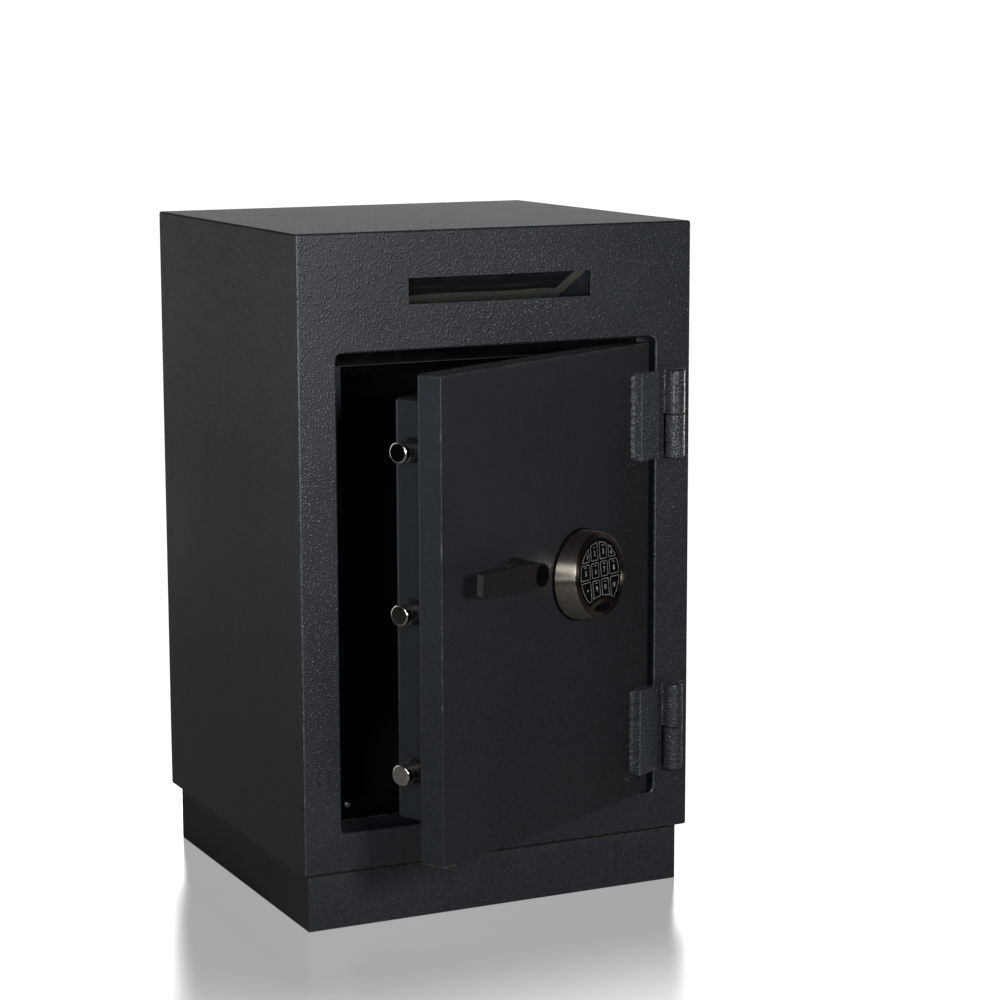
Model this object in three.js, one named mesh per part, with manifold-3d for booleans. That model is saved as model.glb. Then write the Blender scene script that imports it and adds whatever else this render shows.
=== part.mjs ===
// Free-standing drop safe: welded steel body on a recessed plinth, deposit slot with an
// inclined deflector and a serrated baffle behind it, and an outward-opening door that
// carries a round electronic keypad, a lever handle and a three-bolt bolt work.
// Millimetres, +Z up. Origin: on the floor, centre of the body's width and depth.
// The front faces -Y. The door is stored ajar, turned about its hinge pins.
import * as THREE from 'three';
import { mergeVertices } from 'three/addons/utils/BufferGeometryUtils.js';
import Module from 'manifold-3d';

const wasm = await Module();
wasm.setup();

// ---------------------------------------------------------------- driving dimensions
const W = 436;            // body width
const D = 400;            // body depth
const H = 640;            // body height above the plinth
const PLINTH_H = 61;      // plinth height, gap line included
const PLINTH_IN_SIDE = 7.7, PLINTH_IN_FRONT = 10.3, PLINTH_IN_BACK = 12.4;
const WALL = 5;           // body plate thickness
const SEAM = 0.3;         // gap between the plinth and the body
const OPEN_X = 177.2;     // half width of the door opening
const OPEN_Z0 = 101.5, OPEN_Z1 = 583.2, OPEN_R = 6;
const JAMB_T = 4, JAMB_Y = 46, LIP_T = 6;       // return flange and stop lip
const LIP_X = 156, LIP_Z0 = 123, LIP_Z1 = 565.6;
const SLOT = { x0: -99.6, x1: 101.6, z0: 628.4, z1: 654.4 };
const DOOR_ANGLE = 27.55; // stored opening angle, degrees
const PIVOT = { x: 194, y: -12.2 };             // hinge axis, y from the front face
const DOOR = { x0: -174.2, x1: 174, z0: 104.8, z1: 578.4, y0: 7, y1: 36.4, r: 3, bend: 4 };
const BOX = { x0: -145, x1: 140, z0: 136.5, z1: 549.5, y1: 88, t: 2.5, bend: 7 };
const BOLT_Z = [500.3, 343.2, 186.1], BOLT_Y = 65.2, BOLT_R = 10.8, BOLT_TIP = -166.8;
const HANDLE = { x: -61.2, z: 376.2, front: -28, t: 7.2, tilt: 3.05 };
const KEYPAD = { x: 50.1, z: 356.1, tilt: 5, h: 26 };
const KNUCKLE_R = 9.8, PIN_R = 4.5;
const HINGES = [{ name: 'upper', z0: 459.3, z1: 549.3 }, { name: 'lower', z0: 128.9, z1: 219.1 }];

const rad = Math.PI / 180;
const fy = (y) => y - D / 2;                    // depth from the front face -> part frame
const Z0 = PLINTH_H, Z1 = PLINTH_H + H;

// ---------------------------------------------------------------- materials
const mat = (color, roughness, metalness) => new THREE.MeshStandardMaterial({ color, roughness, metalness });
const PAINT = mat(0x2b3036, 0.55, 0.15);        // charcoal hammertone paint
const PAINT_DOOR = mat(0x25292e, 0.5, 0.15);
const PAINT_INNER = mat(0x17191c, 0.6, 0.1);
const STEEL_DARK = mat(0x3a3733, 0.35, 0.9);
const CHROME = mat(0x8f8f8c, 0.2, 1.0);
const NICKEL = mat(0x9a9185, 0.3, 1.0);
const BRONZE = mat(0x2e2b27, 0.45, 0.8);
const BLACK = mat(0x0b0b0c, 0.5, 0.0);
const RUBBER = mat(0x101010, 0.8, 0.0);
const ZINC = mat(0x8a8c8e, 0.4, 0.9);
const BRASS = mat(0x8d7440, 0.4, 0.9);

// ---------------------------------------------------------------- geometry helpers
function solid(geometry) {
  let g = geometry.clone();
  g.deleteAttribute('normal');
  g.deleteAttribute('uv');
  g = mergeVertices(g, 1e-4);
  const src = g.index.array, tri = [];
  for (let i = 0; i < src.length; i += 3) {
    const [a, b, c] = [src[i], src[i + 1], src[i + 2]];
    if (a !== b && b !== c && c !== a) tri.push(a, b, c);
  }
  return new wasm.Manifold(new wasm.Mesh({
    numProp: 3,
    vertProperties: Float32Array.from(g.attributes.position.array),
    triVerts: Uint32Array.from(tri),
  }));
}
function geometryOf(body) {
  const m = body.getMesh();
  const g = new THREE.BufferGeometry();
  g.setAttribute('position', new THREE.BufferAttribute(Float32Array.from(m.vertProperties), 3));
  g.setIndex(new THREE.BufferAttribute(Uint32Array.from(m.triVerts), 1));
  g.computeVertexNormals();
  return g;
}
const join = (...list) => list.reduce((a, b) => a.add(b));
const cut = (base, ...list) => list.reduce((a, b) => a.subtract(b), base);

// box by its limits
const box = (x0, x1, y0, y1, z0, z1) => {
  const g = new THREE.BoxGeometry(x1 - x0, y1 - y0, z1 - z0);
  g.translate((x0 + x1) / 2, (y0 + y1) / 2, (z0 + z1) / 2);
  return solid(g);
};
// cylinders by their axis
const cylX = (r, x0, x1, y, z, n = 24) => solid(new THREE.CylinderGeometry(r, r, x1 - x0, n).rotateZ(Math.PI / 2).translate((x0 + x1) / 2, y, z));
const cylY = (r, y0, y1, x, z, n = 24) => solid(new THREE.CylinderGeometry(r, r, y1 - y0, n).translate(x, (y0 + y1) / 2, z));
const cylZ = (r, z0, z1, x, y, n = 24) => solid(new THREE.CylinderGeometry(r, r, z1 - z0, n).rotateX(Math.PI / 2).translate(x, y, (z0 + z1) / 2));
// outline in X and Z, thickness along Y
const plateXZ = (shape, y0, y1, opts = {}) => {
  const g = new THREE.ExtrudeGeometry(shape, { depth: y1 - y0, bevelEnabled: false, curveSegments: 5, ...opts });
  g.rotateX(Math.PI / 2);
  g.translate(0, y1, 0);
  return solid(g);
};
// outline in X and Y, height along Z
const postXY = (pts, z0, z1) => {
  const g = new THREE.ExtrudeGeometry(new THREE.Shape(pts.map(([x, y]) => new THREE.Vector2(x, y))), { depth: z1 - z0, bevelEnabled: false });
  g.translate(0, 0, z0);
  return solid(g);
};
// outline in Y and Z, width along X
const ribYZ = (pts, x0, x1) => {
  const g = new THREE.ExtrudeGeometry(new THREE.Shape(pts.map(([y, z]) => new THREE.Vector2(y, z))), { depth: x1 - x0, bevelEnabled: false });
  g.applyMatrix4(new THREE.Matrix4().makeBasis(new THREE.Vector3(0, 1, 0), new THREE.Vector3(0, 0, 1), new THREE.Vector3(1, 0, 0)));
  g.translate(x0, 0, 0);
  return solid(g);
};
// turned piece about the Y axis through (x, z); profile is [radius, y], y rising, from axis to axis
const turnedY = (profile, x, z, n = 32) => {
  const g = new THREE.LatheGeometry(profile.map(([r, y]) => new THREE.Vector2(r, y)), n);
  g.translate(x, 0, z);
  return solid(g);
};
function roundedRect(x0, x1, z0, z1, r) {
  const s = new THREE.Shape();
  s.moveTo(x0 + r, z0);
  s.lineTo(x1 - r, z0);
  s.absarc(x1 - r, z0 + r, r, -Math.PI / 2, 0, false);
  s.lineTo(x1, z1 - r);
  s.absarc(x1 - r, z1 - r, r, 0, Math.PI / 2, false);
  s.lineTo(x0 + r, z1);
  s.absarc(x0 + r, z1 - r, r, Math.PI / 2, Math.PI, false);
  s.lineTo(x0, z0 + r);
  s.absarc(x0 + r, z0 + r, r, Math.PI, 1.5 * Math.PI, false);
  return s;
}
// closed body through a row of outlines that all have the same number of points, flat ends
const loft = (rings) => {
  const n = rings[0].length, v = [], t = [];
  for (const ring of rings) for (const p of ring) v.push(...p);
  const centre = (ring) => [0, 1, 2].map((k) => ring.reduce((a, p) => a + p[k], 0) / n);
  const first = v.length / 3;
  v.push(...centre(rings[0]), ...centre(rings[rings.length - 1]));
  for (let k = 0; k < rings.length - 1; k++) {
    for (let i = 0; i < n; i++) {
      const j = (i + 1) % n, a = k * n + i, b = k * n + j, c = a + n, d = b + n;
      t.push(a, d, b, a, c, d);
    }
  }
  const last = (rings.length - 1) * n;
  for (let i = 0; i < n; i++) {
    const j = (i + 1) % n;
    t.push(first, i, j, first + 1, last + j, last + i);
  }
  const g = new THREE.BufferGeometry();
  g.setAttribute('position', new THREE.BufferAttribute(Float32Array.from(v), 3));
  g.setIndex(t);
  return solid(g);
};
const ringXZ = (x0, x1, z0, z1, r, y, seg = 4) => {
  const pts = [];
  const corner = (cx, cz, a0) => {
    for (let i = 0; i <= seg; i++) {
      const a = a0 + (Math.PI / 2) * (i / seg);
      pts.push([cx + r * Math.cos(a), y, cz + r * Math.sin(a)]);
    }
  };
  corner(x1 - r, z0 + r, -Math.PI / 2);
  corner(x1 - r, z1 - r, 0);
  corner(x0 + r, z1 - r, Math.PI / 2);
  corner(x0 + r, z0 + r, Math.PI);
  return pts;
};
// slab between y0 and y1 whose far edges (towards y1) are bent round with radius b
const bentSlab = (x0, x1, z0, z1, y0, y1, r, b) => {
  const rings = [ringXZ(x0, x1, z0, z1, r, y0)];
  for (let i = 0; i <= 4; i++) {
    const a = (Math.PI / 2) * (i / 4), inset = b * (1 - Math.cos(a));
    rings.push(ringXZ(x0 + inset, x1 - inset, z0 + inset, z1 - inset, Math.max(r - inset, 0.8), y1 - b + b * Math.sin(a)));
  }
  return loft(rings);
};

const parts = new THREE.Group();
const place = (group, name, body, material) => {
  const mesh = new THREE.Mesh(body.isBufferGeometry ? body : geometryOf(body), material);
  mesh.name = name;
  group.add(mesh);
  return mesh;
};

// ================================================================ body (fixed)
// face plate with the door opening and the deposit slot
{
  const face = new THREE.Shape([[-W / 2, Z0], [W / 2, Z0], [W / 2, Z1], [-W / 2, Z1]].map(([x, z]) => new THREE.Vector2(x, z)));
  face.holes.push(roundedRect(-OPEN_X, OPEN_X, OPEN_Z0, OPEN_Z1, OPEN_R));
  face.holes.push(new THREE.Path([[SLOT.x0, SLOT.z0], [SLOT.x1, SLOT.z0], [SLOT.x1, SLOT.z1], [SLOT.x0, SLOT.z1]].map(([x, z]) => new THREE.Vector2(x, z))));
  place(parts, 'front_plate', plateXZ(face, fy(0), fy(WALL)), PAINT);
}
place(parts, 'side_plate_left', box(-W / 2, -W / 2 + WALL, fy(WALL), fy(D - WALL), Z0 + WALL, Z1 - WALL), PAINT);
place(parts, 'side_plate_right', box(W / 2 - WALL, W / 2, fy(WALL), fy(D - WALL), Z0 + WALL, Z1 - WALL), PAINT);
place(parts, 'top_plate', box(-W / 2, W / 2, fy(WALL), fy(D - WALL), Z1 - WALL, Z1), PAINT);
place(parts, 'bottom_plate', box(-W / 2, W / 2, fy(WALL), fy(D - WALL), Z0, Z0 + WALL), PAINT);
place(parts, 'back_plate', box(-W / 2, W / 2, fy(D - WALL), fy(D), Z0, Z1), PAINT);

// return flanges round the opening, each with a lip that stops the door
{
  const y0 = fy(WALL), y1 = fy(JAMB_Y), yl = fy(JAMB_Y - LIP_T), g = 0.2;
  const left = join(
    box(-OPEN_X - JAMB_T, -OPEN_X, y0, y1, OPEN_Z0 - JAMB_T, OPEN_Z1 + JAMB_T),
    box(-OPEN_X - 1, -LIP_X, yl, y1, OPEN_Z0 + g, OPEN_Z1 - g));
  // three notches let the drawn-back bolts pass the lip as the door swings
  const notches = BOLT_Z.map((z) => box(-OPEN_X, -LIP_X + 2, yl - 1, y1 + 1, z - 12.3, z + 12.3));
  place(parts, 'jamb_left', cut(left, ...notches), PAINT);
  place(parts, 'jamb_right', join(
    box(OPEN_X, OPEN_X + JAMB_T, y0, y1, OPEN_Z0 - JAMB_T, OPEN_Z1 + JAMB_T),
    box(LIP_X, OPEN_X + 1, yl, y1, OPEN_Z0 + g, OPEN_Z1 - g)), PAINT);
  place(parts, 'jamb_top', join(
    box(-OPEN_X + g, OPEN_X - g, y0, y1, OPEN_Z1, OPEN_Z1 + JAMB_T),
    box(-LIP_X + g, LIP_X - g, yl, y1, LIP_Z1, OPEN_Z1 + 1)), PAINT);
  place(parts, 'jamb_bottom', join(
    box(-OPEN_X + g, OPEN_X - g, y0, y1, OPEN_Z0 - JAMB_T, OPEN_Z0),
    box(-LIP_X + g, LIP_X - g, yl, y1, OPEN_Z0 - 1, LIP_Z0)), PAINT);
  // small pan-head screw in the corner of the lower lip
  place(parts, 'jamb_screw', turnedY([[0, yl - 1.7], [2.2, yl - 1.5], [3.3, yl - 0.7], [3.3, yl - 0.2], [0, yl - 0.2]], -154.5, 118.7, 16), ZINC);
}
// hardened bar behind the lock-side jamb: the thrown bolts bear on it
place(parts, 'bolt_strike_bar', box(-W / 2 + WALL + 0.2, -OPEN_X - 0.8, fy(46.3), fy(53.3), 100, 581), STEEL_DARK);

// deposit path: deflector above, walls beside, serrated baffle below
const DEF = { y0: 6, z0: 656.4, slope: -0.489, y1: 85, t: 3 };
{
  const z1 = DEF.z0 + DEF.slope * (DEF.y1 - DEF.y0), n = Math.hypot(1, DEF.slope);
  const ty = (-DEF.slope / n) * DEF.t * -1, tz = DEF.t / n;   // thickness goes up and back
  place(parts, 'slot_deflector', ribYZ([
    [fy(DEF.y0), DEF.z0], [fy(DEF.y1), z1], [fy(DEF.y1) - ty, z1 + tz], [fy(DEF.y0) - ty, DEF.z0 + tz]], -103.4, 103.4), STEEL_DARK);
}
const BAF = { y0: 7.5, z0: 620.5, y1: 104, z1: 549, t: 3, half: 212, pitch: 11.5, tooth: 10 };
{
  // flat blank with saw teeth along its far edge, then laid on the slope
  const len = Math.hypot(BAF.y1 - BAF.y0, BAF.z1 - BAF.z0), ang = Math.atan2(BAF.z1 - BAF.z0, BAF.y1 - BAF.y0);
  const s = new THREE.Shape();
  s.moveTo(-BAF.half, 0);
  s.lineTo(BAF.half, 0);
  s.lineTo(BAF.half, len - BAF.tooth);
  const count = Math.floor((2 * BAF.half) / BAF.pitch);
  let x = BAF.half - ((2 * BAF.half) - count * BAF.pitch) / 2;
  s.lineTo(x, len - BAF.tooth);
  for (let i = 0; i < count; i++) {
    s.lineTo(x - 1.5, len);
    s.lineTo(x - BAF.pitch, len - BAF.tooth);
    x -= BAF.pitch;
  }
  s.lineTo(-BAF.half, len - BAF.tooth);
  const g = new THREE.ExtrudeGeometry(s, { depth: BAF.t, bevelEnabled: false });
  g.translate(0, 0, -BAF.t);
  g.rotateX(ang);
  g.translate(0, fy(BAF.y0), BAF.z0);
  place(parts, 'fishing_baffle', solid(g), STEEL_DARK);
  const top = (y) => BAF.z0 + ((BAF.z1 - BAF.z0) / (BAF.y1 - BAF.y0)) * (y - BAF.y0) + 0.8;
  for (const [name, xa, xb] of [['chute_wall_left', -106.4, -103.7], ['chute_wall_right', 103.7, 106.4]]) {
    place(parts, name, ribYZ([[fy(5.3), top(5.3)], [fy(98), top(98)], [fy(98), Z1 - WALL - 0.3], [fy(5.3), Z1 - WALL - 0.3]], xa, xb), PAINT);
  }
}

// plinth: a welded ring with a plate let into its foot
{
  const px = W / 2 - PLINTH_IN_SIDE, py0 = fy(PLINTH_IN_FRONT), py1 = fy(D - PLINTH_IN_BACK);
  place(parts, 'plinth_frame', cut(box(-px, px, py0, py1, 0, Z0 - SEAM), box(-px + 4, px - 4, py0 + 4, py1 - 4, -1, Z0 + 1)), PAINT);
  place(parts, 'plinth_base_plate', box(-px + 4.3, px - 4.3, py0 + 4.3, py1 - 4.3, 0, 4), PAINT);
}

// frame halves of the two hinges: pad on the face plate, lower knuckle, pin and washer
const kx = PIVOT.x, ky = fy(PIVOT.y);
for (const h of HINGES) {
  const mid = (h.z0 + h.z1) / 2 - 0.4;
  const pad = box(188.5, 212.5, fy(-2), fy(0), h.z0, h.z1);
  const web = postXY([[189.6, fy(-1)], [200, fy(-1)], [200, fy(-8)], [190.2, fy(-8)]], h.z0 + 0.1, mid - 0.6);
  const knuckle = cylZ(KNUCKLE_R, h.z0 + 0.1, mid - 0.6, kx, ky, 32);
  const bore = cylZ(PIN_R + 0.3, h.z0 + 2, mid + 1, kx, ky);
  place(parts, `frame_hinge_${h.name}`, cut(join(pad, web, knuckle), bore), PAINT);
  place(parts, `hinge_pin_${h.name}`, cylZ(PIN_R, h.z0 + 2.3, h.z1 - 0.2, kx, ky), ZINC);
  place(parts, `hinge_washer_${h.name}`, cut(cylZ(8.6, mid - 0.35, mid + 0.35, kx, ky), cylZ(PIN_R + 0.3, mid - 2, mid + 2, kx, ky)), BRASS);
}

// ================================================================ door (turns about the pins)
const turn = new THREE.Group();
turn.position.set(kx, ky, 0);
turn.rotation.z = DOOR_ANGLE * rad;
const door = new THREE.Group();         // inside it, coordinates are those of the closed door
door.position.set(-kx, -ky, 0);
turn.add(door);
parts.add(turn);

const df = fy(DOOR.y0), dr = fy(DOOR.y1);
place(door, 'door_plate', cut(
  bentSlab(DOOR.x0, DOOR.x1, DOOR.z0, DOOR.z1, df, dr, DOOR.r, DOOR.bend),
  cylY(6.6, df - 1, dr + 1, HANDLE.x, HANDLE.z),
  cylY(5, df - 1, dr + 1, KEYPAD.x, KEYPAD.z)), PAINT_DOOR);

// bolt box: folded pan, open towards the door plate, bolt holes in its lock-side wall
{
  const outer = bentSlab(BOX.x0, BOX.x1, BOX.z0, BOX.z1, dr + 0.3, fy(BOX.y1), 4, BOX.bend);
  const t = BOX.t;
  const hollow = box(BOX.x0 + t, BOX.x1 - t, dr - 5, fy(BOX.y1) - t, BOX.z0 + t, BOX.z1 - t);
  const holes = BOLT_Z.map((z) => cylX(BOLT_R + 0.5, BOX.x0 - 3, BOX.x0 + 6, fy(BOLT_Y), z));
  place(door, 'bolt_box', cut(outer, hollow, ...holes), PAINT_DOOR);
}
BOLT_Z.forEach((z, i) => {
  const profileOuter = cylX(12.4, BOX.x0 - 2.2, BOX.x0 - 0.3, fy(BOLT_Y), z, 32);
  place(door, `bolt_bush_${i + 1}`, cut(profileOuter, cylX(BOLT_R + 0.3, BOX.x0 - 6, BOX.x0 + 2, fy(BOLT_Y), z, 32)), STEEL_DARK);
});

// door halves of the hinges: thick leaf with a thinner neck over the frame and the upper knuckle
for (const h of HINGES) {
  const mid = (h.z0 + h.z1) / 2 - 0.4;
  const leaf = postXY([[144.5, fy(6.7)], [174, fy(6.7)], [174, fy(-0.7)], [187, fy(-0.7)], [187, fy(-2.9)],
    [179.4, fy(-2.9)], [177.7, fy(-4.2)], [145.3, fy(-4.2)], [144.5, fy(-3.4)]].reverse(), h.z0, h.z1);
  const web = postXY([[178.4, fy(-2.9)], [178.4, fy(-0.9)], [187, fy(-0.9)], [188.2, fy(-2.3)], [194, fy(-2.6)], [194, fy(-8)], [189.2, fy(-5)], [186.6, fy(-2.9)]].reverse(), mid + 0.6, h.z1 - 0.1);
  const knuckle = cylZ(KNUCKLE_R, mid + 0.6, h.z1 - 0.1, kx, ky, 32);
  const bore = cylZ(PIN_R + 0.3, mid - 1, h.z1 + 1, kx, ky);
  place(door, `door_hinge_${h.name}`, cut(join(leaf, web, knuckle), bore), PAINT);
}

// lock case inside the bolt box, with a guideway for its bolt
const LOCK = { x0: -48, x1: 12, y0: 47, y1: 72, z0: 285, z1: 371 };
place(door, 'lock_case', cut(
  box(LOCK.x0, LOCK.x1, fy(LOCK.y0), fy(LOCK.y1), LOCK.z0, LOCK.z1),
  box(-36.3, -23.7, fy(49.2), fy(57.8), 339, LOCK.z1 + 1)), ZINC);

// keypad: rubber gasket flat on the door, then a housing leaning back by KEYPAD.tilt
place(door, 'keypad_gasket', cut(
  cylY(45.9, df - 1.7, df - 0.3, KEYPAD.x, KEYPAD.z, 48),
  cylY(7, df - 3, df + 1, KEYPAD.x, KEYPAD.z)), RUBBER);
const pad = new THREE.Group();
pad.position.set(KEYPAD.x, df, KEYPAD.z);
pad.rotation.x = -KEYPAD.tilt * rad;
door.add(pad);
const out = (h) => -h;                  // height above the base, outwards is -Y
const LENS = { z: -69.4, r: 46 };
const lens = (r, h0, h1) => cylY(r, out(h1), out(h0), 0, LENS.z, 96);
{
  const h = KEYPAD.h;
  const profile = [[0, 6], [45.3, 6], [45.1, -3], [43.0, -h + 1.7], [42.85, -h + 1], [42.3, -h + 0.35], [41.2, -h], [0, -h]].reverse();
  let body = turnedY(profile, 0, 0, 48);
  // flush with the gasket, whatever the tilt
  const trim = new THREE.BoxGeometry(140, 30, 140);
  trim.translate(0, 15 - 2.0, 0);
  trim.applyMatrix4(new THREE.Matrix4().makeRotationX(KEYPAD.tilt * rad));
  body = cut(body, solid(trim),
    cut(cylY(37, out(h + 1), out(h - 2.9), 0, 0, 48), lens(LENS.r - 0.3, h - 4, h + 2)));
  const oval = new THREE.CylinderGeometry(1, 1, 2, 32).scale(15.3, 1, 4.5).translate(0.4, out(h - 0.6) - 1, -32.6);
  body = cut(body, solid(oval));
  place(pad, 'keypad_housing', body, NICKEL);
  place(pad, 'keypad_badge', solid(new THREE.CylinderGeometry(1, 1, 0.55, 32).scale(15, 1, 4.2).translate(0.4, out(h - 0.3), -32.6)), BLACK);
}
// twelve keys in three rows of four, and the membrane plate that frames them
const COL = [-40, -15.2, 0.1, 15.4, 40], ROW = [40, 14.1, -3.3, -40];
const LABEL = ['1', '2', '3', '4', '5', '6', '7', '8', 'star', '9', '0', 'hash'];
const keyBlank = (c, r, grow, h0, h1) => {
  const e = 1.2 - grow, f = 0.8 - grow;
  const cell = box(COL[c] + e, COL[c + 1] - e, out(h1), out(h0), ROW[r + 1] + f, ROW[r] - f);
  return cell.intersect(cylY(33.4 + grow, out(h1 + 1), out(h0 - 1), 0, 0, 48)).subtract(lens(LENS.r + 2.2 - grow, h0 - 1, h1 + 1));
};
{
  const h = KEYPAD.h;
  let plate = cylY(36.7, out(h - 1), out(h - 2.6), 0, 0, 48).subtract(lens(LENS.r, h - 4, h + 1));
  for (let i = 0; i < 12; i++) plate = plate.subtract(keyBlank(i % 4, Math.floor(i / 4), 0.3, h - 4, h + 1));
  place(pad, 'keypad_membrane', plate, BLACK);
  for (let i = 0; i < 12; i++) place(pad, `key_${LABEL[i]}`, keyBlank(i % 4, Math.floor(i / 4), 0, h - 2, h - 0.7), BLACK);
}

// ================================================================ handle (turns about the spindle)
{
  const y0 = fy(HANDLE.front), { x, z, t } = HANDLE;
  const s = new THREE.Shape();
  s.moveTo(-95, -9.6);
  s.lineTo(-37, -11.75);
  s.lineTo(0, -11.3);
  s.absarc(0, 0, 11.3, -Math.PI / 2, Math.PI / 2, false);
  s.lineTo(-37, 11.75);
  s.lineTo(-95, 9.6);
  s.closePath();
  const g = new THREE.ExtrudeGeometry(s, { depth: t - 1.2, bevelEnabled: true, bevelThickness: 0.6, bevelSize: 0.6, bevelSegments: 1, curveSegments: 10 });
  g.rotateX(Math.PI / 2);
  g.translate(0, y0 + t - 0.6, 0);
  g.rotateY(HANDLE.tilt * rad);
  g.translate(x, 0, z);
  const back = y0 + t;
  const hub = turnedY([[0, df - 0.5], [14.2, df - 0.5], [14.2, df - 2.5], [13, df - 8], [12.4, df - 15], [11.9, back + 0.5], [11.5, back - 2], [0, back - 2]].reverse(), x, z, 32);
  place(door, 'handle_lever', cut(join(solid(g), hub),
    cylY(6.3, back + 3, df + 2, x, z), cylY(10.8, y0 - 2, y0 + 1.6, x, z, 32)), BRONZE);
  place(door, 'handle_cap', turnedY([[0, y0 - 0.5], [9.6, y0 - 0.5], [10.5, y0 + 0.2], [10.5, y0 + 1.3], [0, y0 + 1.3]], x, z, 32), BLACK);
  place(door, 'handle_spindle', cylY(6, back + 3.3, fy(46), x, z), ZINC);
  const a = 45 * rad, r = 14.14;
  place(door, 'handle_cam', cut(
    join(cylY(20, fy(40), fy(45.6), x, z, 32), cylY(4, fy(45), fy(57), x + r * Math.cos(a), z + r * Math.sin(a), 16)),
    cylY(6.3, fy(38), fy(48), x, z)), STEEL_DARK);
}

// ================================================================ bolt work (slides to the lock side)
{
  const arm = box(-113, -8, fy(50), fy(54), 374, 402);
  const px = HANDLE.x + 10, slot = box(px - 4.8, px + 4.8, fy(49), fy(55), 380.6, 396);
  const notch = (x) => box(x - 7, x + 7, fy(49), fy(55), 373, 382.5);
  const bar = box(-120, -112, fy(50), fy(74), 168, 517);
  place(door, 'bolt_bar', cut(join(bar, arm), slot, notch(-30), notch(-10)), STEEL_DARK);
  BOLT_Z.forEach((z, i) => {
    const g = new THREE.LatheGeometry([[0, BOLT_TIP], [BOLT_R - 2, BOLT_TIP], [BOLT_R, BOLT_TIP + 2], [BOLT_R, -120.3], [0, -120.3]]
      .map(([r, y]) => new THREE.Vector2(r, y)), 32);
    g.rotateZ(-Math.PI / 2);
    g.translate(0, fy(BOLT_Y), z);
    place(door, `bolt_${i + 1}`, solid(g), CHROME);
  });
}
// lock bolt: rises out of the lock case into a notch of the arm
place(door, 'lock_bolt', box(-36, -24, fy(49.5), fy(57.5), 341, 372.4), BRASS);

export default parts;
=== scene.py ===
import bpy, bmesh, math
from mathutils import Matrix, Vector, noise


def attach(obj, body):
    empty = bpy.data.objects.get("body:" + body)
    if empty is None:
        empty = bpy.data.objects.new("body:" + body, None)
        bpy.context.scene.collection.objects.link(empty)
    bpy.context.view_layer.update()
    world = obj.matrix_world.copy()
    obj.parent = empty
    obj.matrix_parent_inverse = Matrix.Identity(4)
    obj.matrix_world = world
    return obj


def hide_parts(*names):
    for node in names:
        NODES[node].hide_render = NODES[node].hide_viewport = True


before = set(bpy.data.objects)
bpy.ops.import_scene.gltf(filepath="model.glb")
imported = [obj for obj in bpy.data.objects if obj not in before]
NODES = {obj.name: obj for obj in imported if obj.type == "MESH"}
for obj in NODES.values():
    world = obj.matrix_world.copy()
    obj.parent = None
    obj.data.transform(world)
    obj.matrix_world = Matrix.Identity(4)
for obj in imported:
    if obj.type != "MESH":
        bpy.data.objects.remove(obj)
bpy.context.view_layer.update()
SCENE = bpy.context.scene

# ------------------------------------------------------------------ frame and sizes, millimetres
FRONT = -200.0                                   # y of the front face
def fy(y): return y + FRONT
W2, Z0, Z1 = 218.0, 61.0, 701.0
OPEN_X, OPEN_Z0, OPEN_Z1 = 177.2, 101.5, 583.2
LIP_X, LIP_Z0, LIP_Z1 = 156.0, 123.0, 565.6
BOLT_Z = (500.3, 343.2, 186.1)
BOLT_Y = 65.2
HX, HZ = -61.2, 376.2                            # handle spindle
KX, KZ, KTILT, KH = 50.1, 356.1, math.radians(5), 26.0
HINGES = (("upper", 459.3, 549.3), ("lower", 128.9, 219.1))
PIV = (194.0, fy(-12.2))
IDENT = Matrix.Identity(4)
# turns the closed door's coordinates into the stored, 27.55 degree open ones
AJAR = (Matrix.Translation((PIV[0] / 1000, PIV[1] / 1000, 0)) @ Matrix.Rotation(math.radians(27.55), 4, "Z")
        @ Matrix.Translation((-PIV[0] / 1000, -PIV[1] / 1000, 0)))
PAD = AJAR @ Matrix.Translation((KX / 1000, fy(7) / 1000, KZ / 1000)) @ Matrix.Rotation(-KTILT, 4, "X")

# ------------------------------------------------------------------ mesh helpers (input in mm)
def mesh_object(name, verts, faces):
    me = bpy.data.meshes.new(name)
    me.from_pydata([(x / 1000, y / 1000, z / 1000) for x, y, z in verts], [], faces)
    me.validate()
    bm = bmesh.new()
    bm.from_mesh(me)
    bmesh.ops.remove_doubles(bm, verts=bm.verts, dist=1e-6)
    bmesh.ops.recalc_face_normals(bm, faces=bm.faces)
    bm.to_mesh(me)
    bm.free()
    o = bpy.data.objects.new(name, me)
    SCENE.collection.objects.link(o)
    return o

def prism(name, pts, axis, a, b):
    """outline pts (two coordinates) pushed along axis from a to b"""
    put = {"X": lambda p, t: (t, p[0], p[1]), "Y": lambda p, t: (p[0], t, p[1]), "Z": lambda p, t: (p[0], p[1], t)}[axis]
    n = len(pts)
    verts = [put(p, a) for p in pts] + [put(p, b) for p in pts]
    faces = [tuple(range(n)), tuple(range(2 * n - 1, n - 1, -1))]
    faces += [(i, (i + 1) % n, n + (i + 1) % n, n + i) for i in range(n)]
    return mesh_object(name, verts, faces)

def block(name, x0, x1, y0, y1, z0, z1):
    return prism(name, [(x0, y0), (x1, y0), (x1, y1), (x0, y1)], "Z", z0, z1)

def arc(cx, cy, r, a0, a1, n):
    return [(cx + r * math.cos(math.radians(a0 + (a1 - a0) * i / n)), cy + r * math.sin(math.radians(a0 + (a1 - a0) * i / n))) for i in range(n + 1)]

def rounded(x0, x1, z0, z1, r, n=6):
    return (arc(x1 - r, z0 + r, r, -90, 0, n) + arc(x1 - r, z1 - r, r, 0, 90, n)
            + arc(x0 + r, z1 - r, r, 90, 180, n) + arc(x0 + r, z0 + r, r, 180, 270, n))

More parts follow.
